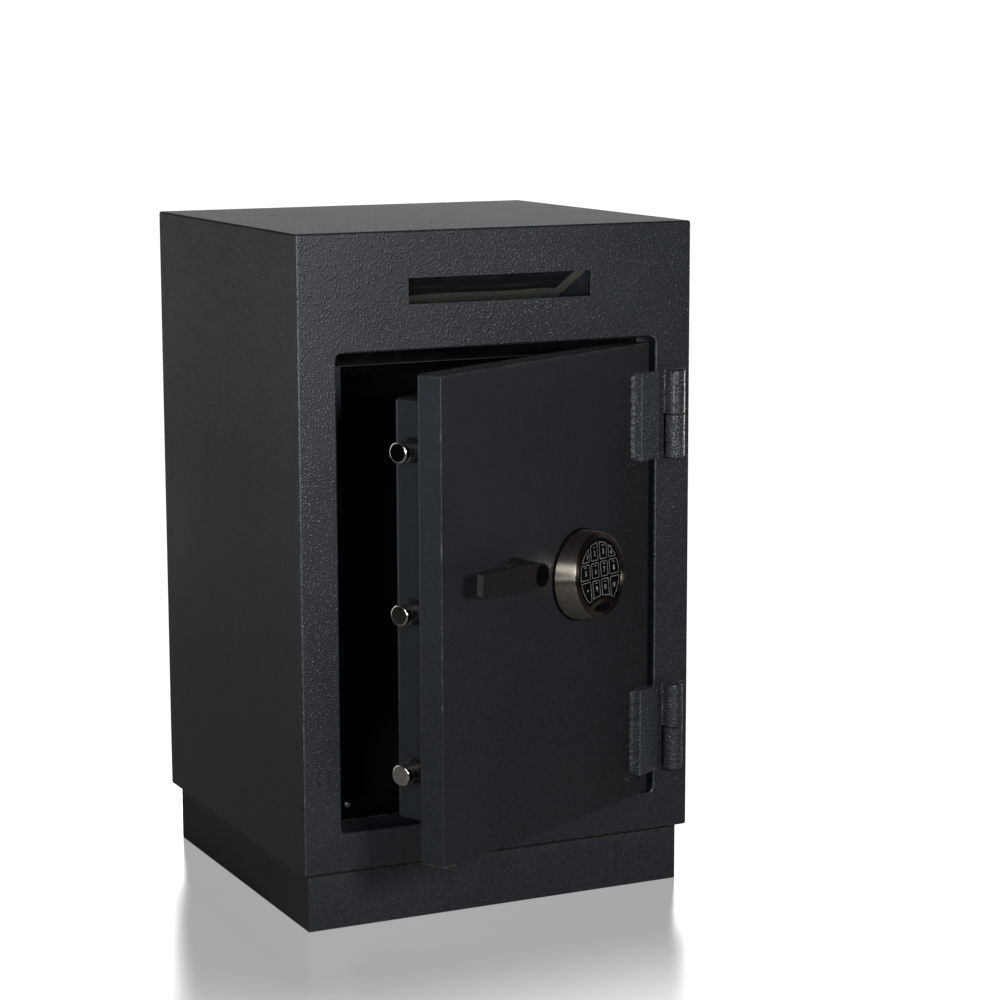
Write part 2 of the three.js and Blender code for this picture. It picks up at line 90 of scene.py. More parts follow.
def loft(name, rings):
    n = len(rings[0])
    verts = [p for r in rings for p in r]
    faces = [tuple(range(n)), tuple(range(len(verts) - 1, len(verts) - n - 1, -1))]
    for k in range(len(rings) - 1):
        for i in range(n):
            j = (i + 1) % n
            faces.append((k * n + i, k * n + j, (k + 1) * n + j, (k + 1) * n + i))
    return mesh_object(name, verts, faces)

def slab(name, x0, x1, z0, z1, y0, y1, r, front, back, n=5):
    """plate between y0 and y1, front edges rounded by front and far edges by back"""
    rows = []
    for i in range(n + 1):
        a = math.pi / 2 * i / n
        rows.append((front * (1 - math.sin(a)), y0 + front * (1 - math.cos(a))))
    for i in range(n + 1):
        a = math.pi / 2 * i / n
        rows.append((back * (1 - math.cos(a)), y1 - back + back * math.sin(a)))
    rings = []
    for inset, y in rows:
        rr = max(r - inset, 0.25)
        rings.append([(x, y, z) for x, z in rounded(x0 + inset, x1 - inset, z0 + inset, z1 - inset, rr)])
    return loft(name, rings)

def lathe(name, profile, n=96, axis="Y", centre=(0, 0), close=False):
    """profile of (radius, height) turned about an axis; centre is the axis' place in the other two"""
    verts, faces, rows = [], [], []
    for r, h in profile:
        row = []
        steps = 1 if r < 1e-6 else n
        for i in range(steps):
            t = 2 * math.pi * i / n
            u, v = r * math.cos(t), r * math.sin(t)
            p = {"Y": (centre[0] + u, h, centre[1] + v), "Z": (centre[0] + u, centre[1] + v, h), "X": (h, centre[0] + u, centre[1] + v)}[axis]
            row.append(len(verts))
            verts.append(p)
        rows.append(row)
    pairs = list(zip(rows, rows[1:])) + ([(rows[-1], rows[0])] if close else [])
    for a, b in pairs:
        for i in range(n):
            j = (i + 1) % n
            q = [a[i % len(a)], a[j % len(a)], b[j % len(b)], b[i % len(b)]]
            q = [v for k, v in enumerate(q) if v not in q[:k]]
            if len(q) > 2:
                faces.append(tuple(q))
    return mesh_object(name, verts, faces)

def bake_modifiers(o):
    dg = bpy.context.evaluated_depsgraph_get()
    dg.update()
    me = bpy.data.meshes.new_from_object(o.evaluated_get(dg))
    o.modifiers.clear()
    o.data = me
    return o

def combine(a, op, *others):
    for b in others:
        m = a.modifiers.new("b", "BOOLEAN")
        m.object, m.operation, m.solver = b, op, "EXACT"
        bake_modifiers(a)
        bpy.data.objects.remove(b)
    bm = bmesh.new()
    bm.from_mesh(a.data)
    bmesh.ops.remove_doubles(bm, verts=bm.verts, dist=2e-6)
    bmesh.ops.dissolve_limit(bm, angle_limit=math.radians(0.5), verts=bm.verts, edges=bm.edges)
    bm.to_mesh(a.data)
    bm.free()
    return a

def soften(o, width=None, segments=3, angle=30, weight=None, clamp=True):
    """rounds the edges when a width is given, else only smooths the shading; weight(p, q) gives each edge its share
    of the width
    """
    me = o.data
    for p in me.polygons:
        p.use_smooth = True
    if width:
        m = o.modifiers.new("edge", "BEVEL")
        m.width, m.segments, m.harden_normals, m.use_clamp_overlap = width / 1000, segments, True, clamp
        m.miter_outer = "MITER_ARC"
        if weight:
            at = me.attributes.new("bevel_weight_edge", "FLOAT", "EDGE")
            for e in me.edges:
                p, q = (me.vertices[i].co * 1000 for i in e.vertices)
                at.data[e.index].value = weight(p, q)
            m.limit_method = "WEIGHT"
        else:
            m.limit_method, m.angle_limit = "ANGLE", math.radians(angle)
    else:
        me.set_sharp_from_angle(angle=math.radians(angle))
        w = o.modifiers.new("normals", "WEIGHTED_NORMAL")
        w.keep_sharp = True
        w.weight = 50
    return o

def done(o, body, mats, replaces=(), matrix=IDENT):
    o.matrix_world = matrix
    o.data.materials.clear() if not o.get("keep_mats") else None
    if not o.get("keep_mats"):
        for m in mats:
            o.data.materials.append(m)
    if replaces:
        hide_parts(*replaces)
    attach(o, body)
    return o

def unite(name, objects):
    """several closed meshes as one object"""
    bm = bmesh.new()
    for o in objects:
        bm.from_mesh(o.data)
    me = bpy.data.meshes.new(name)
    bm.to_mesh(me)
    bm.free()
    for o in objects:
        bpy.data.objects.remove(o)
    o = bpy.data.objects.new(name, me)
    SCENE.collection.objects.link(o)
    return o

# ------------------------------------------------------------------ material helpers
class Nodes:
    def __init__(self, name):
        self.mat = bpy.data.materials.new(name)
        self.mat.use_nodes = True
        self.t = self.mat.node_tree
        self.t.nodes.clear()
        self.out = self.t.nodes.new("ShaderNodeOutputMaterial")
        self.bsdf = self.t.nodes.new("ShaderNodeBsdfPrincipled")
        self.t.links.new(self.bsdf.outputs[0], self.out.inputs["Surface"])
        tc = self.t.nodes.new("ShaderNodeTexCoord")
        self.obj, self.normal = tc.outputs["Object"], tc.outputs["Normal"]

    def put(self, socket, value):
        if isinstance(value, bpy.types.NodeSocket):
            self.t.links.new(value, socket)
        elif value is not None:
            socket.default_value = value

    def set(self, **values):
        for k, v in values.items():
            self.put(self.bsdf.inputs[k.replace("_", " ")], v)
        return self

    def math(self, op, a, b=None, c=None, clamp=False):
        n = self.t.nodes.new("ShaderNodeMath")
        n.operation, n.use_clamp = op, clamp
        for s, v in zip(n.inputs, (a, b, c)):
            self.put(s, v)
        return n.outputs[0]

    def vec(self, scale=(1, 1, 1), offset=(0, 0, 0), rot=(0, 0, 0), source=None):
        n = self.t.nodes.new("ShaderNodeMapping")
        self.put(n.inputs[0], source or self.obj)
        n.inputs["Location"].default_value = offset
        n.inputs["Rotation"].default_value = rot
        n.inputs["Scale"].default_value = scale
        return n.outputs[0]

    def noise(self, scale, detail=2.0, rough=0.5, vector=None, distort=0.0):
        n = self.t.nodes.new("ShaderNodeTexNoise")
        self.put(n.inputs["Vector"], vector or self.obj)
        n.inputs["Scale"].default_value = scale
        n.inputs["Detail"].default_value = detail
        n.inputs["Roughness"].default_value = rough
        n.inputs["Distortion"].default_value = distort
        return n.outputs["Fac"]

    def cells(self, scale, smooth=0.6, vector=None, random=1.0):
        n = self.t.nodes.new("ShaderNodeTexVoronoi")
        n.feature = "SMOOTH_F1"
        self.put(n.inputs["Vector"], vector or self.obj)
        n.inputs["Scale"].default_value = scale
        n.inputs["Smoothness"].default_value = smooth
        n.inputs["Randomness"].default_value = random
        return n.outputs["Distance"]

    def drops(self, scale, size=0.33, least=0.0, offset=(0, 0, 0)):
        """scattered round droplets of differing height, 0 to 1"""
        n = self.t.nodes.new("ShaderNodeTexVoronoi")
        n.feature = "F1"
        self.put(n.inputs["Vector"], self.vec(offset=offset))
        n.inputs["Scale"].default_value = scale
        sep = self.t.nodes.new("ShaderNodeSeparateColor")
        self.put(sep.inputs[0], n.outputs["Color"])
        return self.math("MULTIPLY", self.span(n.outputs["Distance"], size, size * 0.25), self.span(sep.outputs[0], least, 0.55, 0.25, 1.0, smooth=False))

    def ramp(self, fac, stops):
        n = self.t.nodes.new("ShaderNodeValToRGB")
        self.put(n.inputs[0], fac)
        e = n.color_ramp.elements
        while len(e) < len(stops):
            e.new(0.5)
        for s, (pos, col) in zip(e, stops):
            s.position = pos
            s.color = (*col, 1) if isinstance(col, (tuple, list)) else (col, col, col, 1)
        return n.outputs[0]

    def span(self, value, a, b, c=0.0, d=1.0, smooth=True):
        n = self.t.nodes.new("ShaderNodeMapRange")
        n.interpolation_type = "SMOOTHSTEP" if smooth else "LINEAR"
        self.put(n.inputs[0], value)
        for i, v in enumerate((a, b, c, d)):
            self.put(n.inputs[i + 1], v)
        return n.outputs[0]

    def mix(self, fac, a, b, blend="MIX"):
        n = self.t.nodes.new("ShaderNodeMix")
        n.data_type, n.blend_type = "RGBA", blend
        self.put(n.inputs["Factor"], fac)
        self.put(n.inputs[6], (*a, 1) if isinstance(a, tuple) and len(a) == 3 else a)
        self.put(n.inputs[7], (*b, 1) if isinstance(b, tuple) and len(b) == 3 else b)
        return n.outputs[2]

    def xyz(self, source=None):
        n = self.t.nodes.new("ShaderNodeSeparateXYZ")
        self.put(n.inputs[0], source or self.obj)
        return n.outputs

    def bump(self, height, distance, strength=1.0, normal=None):
        n = self.t.nodes.new("ShaderNodeBump")
        n.inputs["Strength"].default_value = strength
        n.inputs["Distance"].default_value = distance
        self.put(n.inputs["Height"], height)
        self.put(n.inputs["Normal"], normal)
        return n.outputs[0]

    def edge(self, radius):
        """1 near a convex or concave edge, 0 on a flat face"""
        b = self.t.nodes.new("ShaderNodeBevel")
        b.samples = 4
        b.inputs["Radius"].default_value = radius
        g = self.t.nodes.new("ShaderNodeNewGeometry")
        d = self.t.nodes.new("ShaderNodeVectorMath")
        d.operation = "DOT_PRODUCT"
        self.put(d.inputs[0], b.outputs[0])
        self.put(d.inputs[1], g.outputs["Normal"])
        return self.span(d.outputs["Value"], 0.995, 0.90)

    def near(self, axis_values, widths):
        """soft box mask round a place: product over axes of 1 inside, 0 outside"""
        x = self.xyz()
        res = None
        for i, (v, w) in enumerate(zip(axis_values, widths)):
            if v is None:
                continue
            d = self.math("ABSOLUTE", self.math("SUBTRACT", x[i], v / 1000))
            m = self.span(d, w / 1000, w * 0.35 / 1000)
            res = m if res is None else self.math("MULTIPLY", res, m)
        return res

def hammertone(name, dark, light, pebble=235.0, depth=0.00022, rough=0.40, spec=0.5, coat=0.2, wear=(0.20, 0.19, 0.17), wear_amount=0.35, marks_and_shade=None, grain=0.8, shine=0.16, droplet_painted_light=0.0, upright=0.0, swell=None):
    m = Nodes(name)
    big = m.noise(5.0, 3.0, 0.6)
    mid = m.noise(75.0, 2.0, 0.6)
    fine = m.noise(430.0, 2.0, 0.6)
    tone = m.math("ADD", m.math("MULTIPLY", big, 0.45), m.math("ADD", m.math("MULTIPLY", mid, 0.3), m.math("MULTIPLY", fine, 0.25)))
    col = m.mix(m.span(tone, 0.36, 0.64), dark, light)
    # fine grain: pinkish and teal specks in the grey
    g1 = m.noise(1000.0, 1.0, 0.5)
    g2 = m.noise(900.0, 1.0, 0.5, m.vec(offset=(0.31, 0.17, 0.43)))
    col = m.mix(m.span(g1, 0.50, 0.72, 0.0, grain), col, (light[0] * 1.75, light[1] * 1.45, light[2] * 1.45))
    col = m.mix(m.span(g2, 0.52, 0.74, 0.0, grain), col, (dark[0] * 0.45, dark[1] * 0.72, dark[2] * 0.70))
    n = m.xyz(m.normal)
    if callable(droplet_painted_light):
        droplet_painted_light = droplet_painted_light(m)
    if droplet_painted_light:
        # painted light and shade: each droplet gets a painted pale highlight on its upper left and a painted dark
        # teal shade on its lower right side
        a = m.drops(pebble, 0.40, offset=(0.0005, 0.0, -0.0007))
        b = m.drops(pebble, 0.40, offset=(-0.0005, 0.0, 0.0007))
        col = m.mix(m.span(m.math("SUBTRACT", a, b), 0.05, 0.45, 0.0, droplet_painted_light), col, (light[0] * 4.6, light[1] * 4.3, light[2] * 4.0))
        col = m.mix(m.span(m.math("SUBTRACT", b, a), 0.05, 0.55, 0.0, droplet_painted_light), col, (dark[0] * 0.30, dark[1] * 0.52, dark[2] * 0.52))
    # worn edges, broken up by noise
    e = m.math("MULTIPLY", m.edge(0.0016), m.span(m.noise(140.0, 4.0, 0.7), 0.50, 0.66))
    if upright:
        # painted highlight: the rolled upright edges that face left and front, towards the light, carry a bright
        # broken line; the others none
        e = m.math("MULTIPLY", e, m.span(m.math("ABSOLUTE", n[2]), 0.4, 0.1))
        roll = m.math("MULTIPLY", m.span(n[0], -0.12, -0.5), m.span(n[1], -0.12, -0.5))
        roll = m.math("MULTIPLY", roll, m.span(m.noise(460.0, 2.0, 0.7), 0.42, 0.62, 0.10, 1.1))
        col = m.mix(m.math("MULTIPLY", roll, upright), col, (0.17, 0.20, 0.23))
    col = m.mix(m.math("MULTIPLY", e, wear_amount), col, wear)
    # each material's hook adds its marks and its painted light and shade
    if marks_and_shade:
        col = marks_and_shade(m, col)
    h = m.math("ADD", m.drops(pebble, 0.40), m.math("MULTIPLY", m.drops(pebble * 1.35, 0.38, 0.05, (0.013, 0.027, 0.041)), 0.7))
    if swell:
        h = m.math("MULTIPLY", h, swell(m))
    n1 = m.bump(h, depth)
    n2 = m.bump(m.noise(pebble * 4.2, 2.0, 0.6), depth * 0.25, normal=n1)
    r = m.math("ADD", rough - 0.06, m.math("MULTIPLY", m.noise(22.0, 3.0, 0.6), 0.12))
    m.set(Base_Color=col, Roughness=r, Normal=n2, Specular_IOR_Level=spec, Coat_Weight=coat, Coat_Roughness=shine)
    m.put(m.bsdf.inputs["Coat Normal"], n1)
    return m.mat

# ------------------------------------------------------------------ materials
def shade(m, col, factor):
    """colour times a soft factor: painted light and shade"""
    return m.mix(1.0, col, factor, "MULTIPLY")

def body_shade_and_rust(m, col):
    # painted shade: darker towards the foot; rust creeping from the seam under the body
    x = m.xyz()
    col = shade(m, col, m.span(x[2], 0.08, 0.42, 0.78, 1.0))
    n = m.noise(90.0, 4.0, 0.7)
    line = m.math("MULTIPLY", m.span(x[2], 0.0645, 0.0613), m.span(n, 0.50, 0.62))
    col = m.mix(m.math("MULTIPLY", line, 0.7), col, (0.16, 0.062, 0.022))
    # faint reddish scratch on the left side
    t = m.math("ADD", m.math("MULTIPLY", x[2], 0.16), x[1])
    s = m.math("MULTIPLY", m.span(m.math("ABSOLUTE", m.math("SUBTRACT", t, 0.0935)), 0.0016, 0.0004), m.span(m.noise(50.0, 2.0, 0.5), 0.34, 0.52))
    s = m.math("MULTIPLY", s, m.math("MULTIPLY", m.span(x[2], 0.475, 0.490), m.span(x[2], 0.556, 0.545)))
    s = m.math("MULTIPLY", s, m.span(x[0], -0.21, -0.217))
    return m.mix(m.math("MULTIPLY", s, 0.55), col, (0.16, 0.07, 0.045))

def upper_left(m):
    # the droplets stand out most at the upper left, where the light glances off the front: their bumps are deepest
    # and their painted highlights and shades strongest there
    x = m.xyz()
    return m.math("MULTIPLY", m.span(x[2], 0.48, 0.66), m.span(x[0], 0.10, -0.12))
def front_swell(m):
    return m.math("ADD", 0.58, m.math("MULTIPLY", upper_left(m), 1.4))
def front_droplet_painted_light(m):
    return m.math("ADD", 0.24, m.math("MULTIPLY", upper_left(m), 0.61))
PAINT = hammertone("safe_paint_hammertone", (0.0142, 0.0181, 0.0243), (0.0208, 0.0263, 0.0351), pebble=390.0, depth=0.00026, coat=0.48, shine=0.15, marks_and_shade=body_shade_and_rust, droplet_painted_light=front_droplet_painted_light, upright=0.50, swell=front_swell)
def side_extra(m, col):
    x = m.xyz()
    # painted light and shade: lighter towards the back, darker towards the bottom and darker again near the top
    far = m.math("POWER", m.span(x[1], -0.2, 0.2, smooth=False), 1.8)
    col = shade(m, col, m.math("ADD", 0.47, m.math("MULTIPLY", far, 1.9)))
    col = shade(m, col, m.span(x[2], 0.16, 0.36, 0.56, 1.0))
    col = shade(m, col, m.span(x[2], 0.36, 0.47, 1.0, 0.64))
    return body_shade_and_rust(m, col)
PAINT_SIDE = hammertone("safe_paint_side", (0.0200, 0.0182, 0.0186), (0.0292, 0.0264, 0.0268), pebble=340.0, depth=0.00012, rough=0.42, coat=0.10, grain=0.5, marks_and_shade=side_extra, upright=0.3, droplet_painted_light=0.05)

def inner_paint():
    m = Nodes("safe_paint_inside")
    n = m.noise(260.0, 3.0, 0.6)
    col = m.mix(m.span(m.noise(12.0, 3.0, 0.6), 0.35, 0.65), (0.0022, 0.0024, 0.0026), (0.0042, 0.0045, 0.0048))
    x = m.xyz()
    # painted light: much lighter towards the top and, less so, towards the bottom
    lit_ends = m.math("MAXIMUM", m.span(x[2], 0.46, 0.53), m.math("MULTIPLY", m.span(x[2], 0.13, 0.07), 0.6))
    col = m.mix(lit_ends, col, (0.052, 0.057, 0.060))
    m.set(Base_Color=col, Roughness=m.math("ADD", 0.6, m.math("MULTIPLY", n, 0.15)), Normal=m.bump(n, 0.0001), Specular_IOR_Level=0.12)
    return m.mat
PAINT_INSIDE = inner_paint()

def lip_paint():
    m = Nodes("lip_paint_wear_and_highlight")
    n = m.noise(300.0, 3.0, 0.6)
    x = m.xyz()
    level = m.math("MAXIMUM", m.span(x[2], 0.124, 0.1225), m.span(x[2], 0.5645, 0.566))
    wear = m.math("MULTIPLY", m.math("MULTIPLY", m.span(m.noise(60.0, 4.0, 0.75), 0.55, 0.68), 0.25), level)
    col = m.mix(m.span(m.noise(15.0, 3.0, 0.6), 0.35, 0.65), (0.0012, 0.0013, 0.0014), (0.0026, 0.0026, 0.0026))
    col = m.mix(wear, col, (0.022, 0.019, 0.014))
    e = m.math("MULTIPLY", m.math("MULTIPLY", m.edge(0.0010), m.span(m.noise(220.0, 3.0, 0.7), 0.42, 0.60)), level)
    col = m.mix(m.math("MULTIPLY", e, 0.6), col, (0.10, 0.11, 0.12))
    # painted highlight: a bright teal line along the upper lip's lower edge
    lip_edge_highlight = m.math("MULTIPLY", m.span(x[2], 0.5669, 0.5663), m.span(x[2], 0.5, 0.55))
    lip_edge_highlight = m.math("MULTIPLY", lip_edge_highlight, m.span(m.noise(90.0, 3.0, 0.6), 0.30, 0.50, 0.5, 1.0))
    col = m.mix(m.math("MULTIPLY", lip_edge_highlight, 0.9), col, (0.060, 0.075, 0.084))
    m.set(Base_Color=col, Roughness=m.math("ADD", 0.45, m.math("MULTIPLY", n, 0.2)), Normal=m.bump(n, 0.00012), Specular_IOR_Level=0.1)
    return m.mat
LIP_PAINT = lip_paint()

def brushed(name, base, second, rough, direction=(1, 1, 1), streak=0.00003, metal=1.0, fine=900.0, stain=(0.08, 0.07, 0.055), stain_amount=0.35, extra=None):
    m = Nodes(name)
    s = m.noise(fine, 2.0, 0.6, m.vec(direction))
    cloud = m.noise(38.0, 4.0, 0.65)
    col = m.mix(m.span(s, 0.35, 0.65), base, second)
    col = m.mix(m.math("MULTIPLY", m.span(cloud, 0.52, 0.68), stain_amount), col, stain)
    if extra:
        col = extra(m, col)
    r = m.math("ADD", rough, m.math("ADD", m.math("MULTIPLY", m.math("SUBTRACT", s, 0.5), 0.14), m.math("MULTIPLY", m.math("SUBTRACT", cloud, 0.5), 0.16)))
    m.set(Base_Color=col, Metallic=metal, Roughness=r, Normal=m.bump(s, streak))
    return m.mat

def deflector():
    # dark painted sheet; painted light: its low edge and the run up to the right wall are painted pale brown, the
    # light falling in through the slot
    m = Nodes("deflector_sheet")
    x = m.xyz()
    wave = m.math("MULTIPLY", m.math("SUBTRACT", m.noise(9.0, 2.0, 0.5), 0.5), 0.035)
    low = m.span(m.math("ADD", m.math("ADD", x[1], wave), m.math("MULTIPLY", m.math("ABSOLUTE", m.math("SUBTRACT", x[0], 0.01)), -0.06)), -0.1475, -0.1445)
    side = m.span(m.math("ADD", x[0], m.math("MULTIPLY", m.noise(60.0), 0.003)), 0.0905, 0.0925)
    slot_light_band = m.math("MAXIMUM", low, side)
    s = m.noise(30.0, 5.0, 0.7, m.vec((0.4, 1.6, 1)))
    dark = m.mix(m.span(s, 0.50, 0.72), (0.017, 0.0195, 0.0240), (0.055, 0.055, 0.058))
    pale = m.mix(m.span(m.noise(160.0, 3.0, 0.7), 0.35, 0.65), (0.150, 0.140, 0.119), (0.210, 0.193, 0.165))
    col = m.mix(slot_light_band, dark, pale)
    # painted highlights: sparse pale specks
    spec = m.span(m.noise(260.0, 2.0, 0.6), 0.74, 0.80)
    col = m.mix(m.math("MULTIPLY", spec, 0.5), col, (0.6, 0.55, 0.45))
    m.set(Base_Color=col, Roughness=m.math("ADD", 0.42, m.math("MULTIPLY", s, 0.2)), Normal=m.bump(s, 0.0001))
    return m.mat
DARK_STEEL = deflector()
CHUTE_WALL = hammertone("chute_wall_paint", (0.030, 0.041, 0.055), (0.038, 0.052, 0.068), pebble=400.0, depth=0.00006, rough=0.5, coat=0.0)
BAFFLE_STEEL = brushed("baffle_steel", (0.145, 0.136, 0.122), (0.090, 0.085, 0.080), 0.42, (0.2, 1, 1), 0.00003)
STRIKE = brushed("strike_steel", (0.06, 0.055, 0.05), (0.04, 0.038, 0.035), 0.45)
CHROME = brushed("bolt_chrome", (0.62, 0.60, 0.57), (0.50, 0.485, 0.46), 0.13, (1, 1, 0.25), 0.000012, stain=(0.10, 0.085, 0.065), stain_amount=0.35)
# painted reflection: the bolts' end faces are painted darker the higher they sit, the top one darkest, standing in
# for what each mirrors; each also carries a brown stain
CHROME_FACES = [brushed("bolt_face_%d" % (i + 1), tuple(v * k for v in (0.56, 0.54, 0.49)), tuple(v * k for v in (0.48, 0.46, 0.41)), 0.16, (1, 1, 0.2), 0.00001,
                        stain=tuple(v * k for v in (0.30, 0.24, 0.15)), stain_amount=0.4) for i, k in enumerate((0.07, 0.34, 1.0))]
COLLAR = brushed("bolt_collar", (0.060, 0.055, 0.050), (0.036, 0.033, 0.030), 0.45)
ZINC = brushed("zinc", (0.42, 0.42, 0.41), (0.30, 0.30, 0.30), 0.32)
def rusty():
    m = Nodes("washer_rust")
    x = m.xyz()
    n = m.noise(300.0, 3.0, 0.7)
    orange = m.math("MULTIPLY", m.span(x[0], 0.192, 0.199), m.span(n, 0.35, 0.6))
    col = m.mix(orange, m.mix(n, (0.012, 0.011, 0.010), (0.034, 0.028, 0.022)), (0.20, 0.085, 0.028))
    m.set(Base_Color=col, Roughness=m.math("ADD", 0.6, m.math("MULTIPLY", n, 0.2)), Normal=m.bump(n, 0.0001), Specular_IOR_Level=0.2)
    return m.mat
RUST = rusty()
BRASS = brushed("brass", (0.52, 0.34, 0.13), (0.36, 0.23, 0.10), 0.34)
BRONZE = brushed("lever_bronze", (0.056, 0.050, 0.048), (0.034, 0.031, 0.030), 0.40, (0.3, 1, 1), 0.00003, metal=0.75, stain=(0.075, 0.060, 0.045), stain_amount=0.45,
                 extra=lambda m, col: m.mix(1.0, col, m.span(m.xyz(m.normal)[0], -0.6, -0.9, 1.06, 2.1), "MULTIPLY"))   # painted light: faces turned to the left, chiefly the lever's end, are painted up to twice as bright

def nickel():
    # turned nickel: fine rings of brushing run round the housing
    m = Nodes("keypad_nickel")
    x = m.xyz()
    rad = m.math("SQRT", m.math("ADD", m.math("MULTIPLY", x[0], x[0]), m.math("MULTIPLY", x[2], x[2])))
    ang = m.math("ARCTAN2", x[0], x[2])
    c = m.t.nodes.new("ShaderNodeCombineXYZ")
    m.put(c.inputs[0], m.math("MULTIPLY", rad, 1.0))
    m.put(c.inputs[1], m.math("MULTIPLY", ang, 0.0016))
    m.put(c.inputs[2], m.math("MULTIPLY", x[1], 1.0))
    s = m.noise(3600.0, 2.0, 0.6, c.outputs[0])
    cloud = m.noise(60.0, 3.0, 0.6)
    col = m.mix(m.span(s, 0.3, 0.7), (0.64, 0.585, 0.50), (0.48, 0.435, 0.37))
    col = m.mix(m.math("MULTIPLY", m.span(cloud, 0.5, 0.7), 0.3), col, (0.20, 0.155, 0.12))
    rim = m.span(x[1], -0.0247, -0.0256)
    col = m.mix(m.math("MULTIPLY", rim, 0.92), col, (0.080, 0.050, 0.033))
    m.set(Base_Color=col, Metallic=1.0, Roughness=m.math("ADD", 0.28, m.math("MULTIPLY", s, 0.06)), Normal=m.bump(s, 0.00002))
    m.bsdf.inputs["Anisotropic"].default_value = 1.0
    m.bsdf.inputs["Anisotropic Rotation"].default_value = 0.25
    tan = m.t.nodes.new("ShaderNodeTangent")
    tan.direction_type, tan.axis = "RADIAL", "Y"
    m.put(m.bsdf.inputs["Tangent"], tan.outputs[0])
    return m.mat
NICKEL = nickel()

def plastic(name, col, rough, grain=900.0, depth=0.00003, spec=0.5):
    m = Nodes(name)
    n = m.noise(grain, 2.0, 0.6)
    c = m.mix(m.span(m.noise(90.0, 3.0, 0.6), 0.3, 0.7), col, tuple(v * 1.7 for v in col))
    m.set(Base_Color=c, Roughness=m.math("ADD", rough, m.math("MULTIPLY", m.math("SUBTRACT", n, 0.5), 0.15)), Normal=m.bump(n, depth), Specular_IOR_Level=spec)
    return m.mat

BLACK = plastic("cap_black", (0.0014, 0.0014, 0.0015), 0.45, spec=0.04)
MEMBRANE = plastic("keypad_membrane", (0.0022, 0.0021, 0.0022), 0.34, 700.0, spec=0.06)
KEYS = plastic("key_black", (0.0022, 0.0021, 0.0023), 0.36, 800.0, spec=0.06)
PRINT = plastic("key_print", (0.30, 0.295, 0.28), 0.5, 600.0)
PRINT_LINE = plastic("key_outline", (0.25, 0.25, 0.245), 0.5, 600.0)
BADGE = plastic("badge_black", (0.0022, 0.0020, 0.0020), 0.25, 500.0, spec=0.10)
BADGE_RIM = brushed("badge_rim", (0.92, 0.84, 0.76), (0.74, 0.67, 0.60), 0.3)
RUBBER = plastic("gasket_rubber", (0.0015, 0.0015, 0.0015), 0.8, 500.0, 0.00006, spec=0.05)

def weld():
    m = Nodes("weld_bead")
    n = m.noise(220.0, 3.0, 0.7)
    col = m.ramp(m.noise(120.0, 4.0, 0.7), [(0.30, (0.020, 0.019, 0.018)), (0.52, (0.050, 0.040, 0.030)), (0.64, (0.14, 0.105, 0.065)), (0.76, (0.26, 0.24, 0.20))])
    m.set(Base_Color=col, Roughness=m.math("ADD", 0.4, m.math("MULTIPLY", n, 0.3)), Metallic=0.3, Normal=m.bump(n, 0.0004))
    return m.mat
WELD = weld()
WELD_PAINTED = hammertone("weld_painted", (0.016, 0.019, 0.022), (0.028, 0.033, 0.038), pebble=300.0, depth=0.0004, coat=0.3, wear=(0.11, 0.12, 0.125), wear_amount=0.15)

# ------------------------------------------------------------------ body
def pair_of_planes(p, q):
    count = 0
    for i, (lo, hi) in enumerate(((-218, 218), (-200, 200), (61, 701))):
        for v in (lo, hi):
            if abs(p[i] - v) < 0.01 and abs(q[i] - v) < 0.01:
                count += 1
    return count

def body_weights(p, q):
    if pair_of_planes(p, q) >= 2:
        return 1.0
    front = abs(p[1] + 200) < 0.01 and abs(q[1] + 200) < 0.01
    def on_hole(v, x0, x1, z0, z1):
        return x0 - 0.01 <= v[0] <= x1 + 0.01 and z0 - 0.01 <= v[2] <= z1 + 0.01
    if front and all(on_hole(v, -OPEN_X, OPEN_X, OPEN_Z0, OPEN_Z1) for v in (p, q)):
        return 0.75
    if front and all(on_hole(v, -99.6, 101.6, 628.4, 654.4) for v in (p, q)):
        return 0.12
    lip = abs(p[1] + 160) < 0.01 and abs(q[1] + 160) < 0.01
    if lip and all(on_hole(v, -LIP_X - 0.1, LIP_X, LIP_Z0, LIP_Z1) for v in (p, q)):
        return 0.3
    return 0.0

shell = block("body_shell", -W2, W2, -200, 200, Z0, Z1)
combine(shell, "DIFFERENCE", block("t", -213, 213, -195, 195, 66, 696))
combine(shell, "UNION", block("t", -181.2, 181.2, -196, -154, 97.5, 587.2))
combine(shell, "DIFFERENCE", prism("t", rounded(-OPEN_X, OPEN_X, OPEN_Z0, OPEN_Z1, 6, 7), "Y", -201, -160))
combine(shell, "DIFFERENCE", block("t", -LIP_X, LIP_X, -161, -153, LIP_Z0, LIP_Z1))
combine(shell, "DIFFERENCE", *[block("t", -OPEN_X, -LIP_X + 1, -161, -153, z - 12.3, z + 12.3) for z in BOLT_Z])
combine(shell, "DIFFERENCE", block("t", -99.6, 101.6, -201, -194, 628.4, 654.4))
for m in (PAINT, PAINT_SIDE, PAINT_INSIDE, LIP_PAINT):
    shell.data.materials.append(m)
for p in shell.data.polygons:
    c, n = p.center * 1000, p.normal
    if abs(c.x) > 217.5:
        p.material_index = 1
    elif c.y > -153.9 and c.y < 199 and 61.5 < c.z < 700.5:
        p.material_index = 2
    elif -160.5 < c.y < -153.5 and abs(c.x) < 179 and 98 < c.z < 586:
        p.material_index = 3
    elif c.y > -199.5 and c.y < 199 and 61.5 < c.z < 700.5 and (abs(c.x) > OPEN_X + 1 or c.z > OPEN_Z1 + 1 or c.z < OPEN_Z0 - 1) and not (620 < c.z < 660 and abs(c.x) < 103):
        p.material_index = 2
soften(shell, 2.6, 4, weight=body_weights, clamp=False)
shell["keep_mats"] = 1
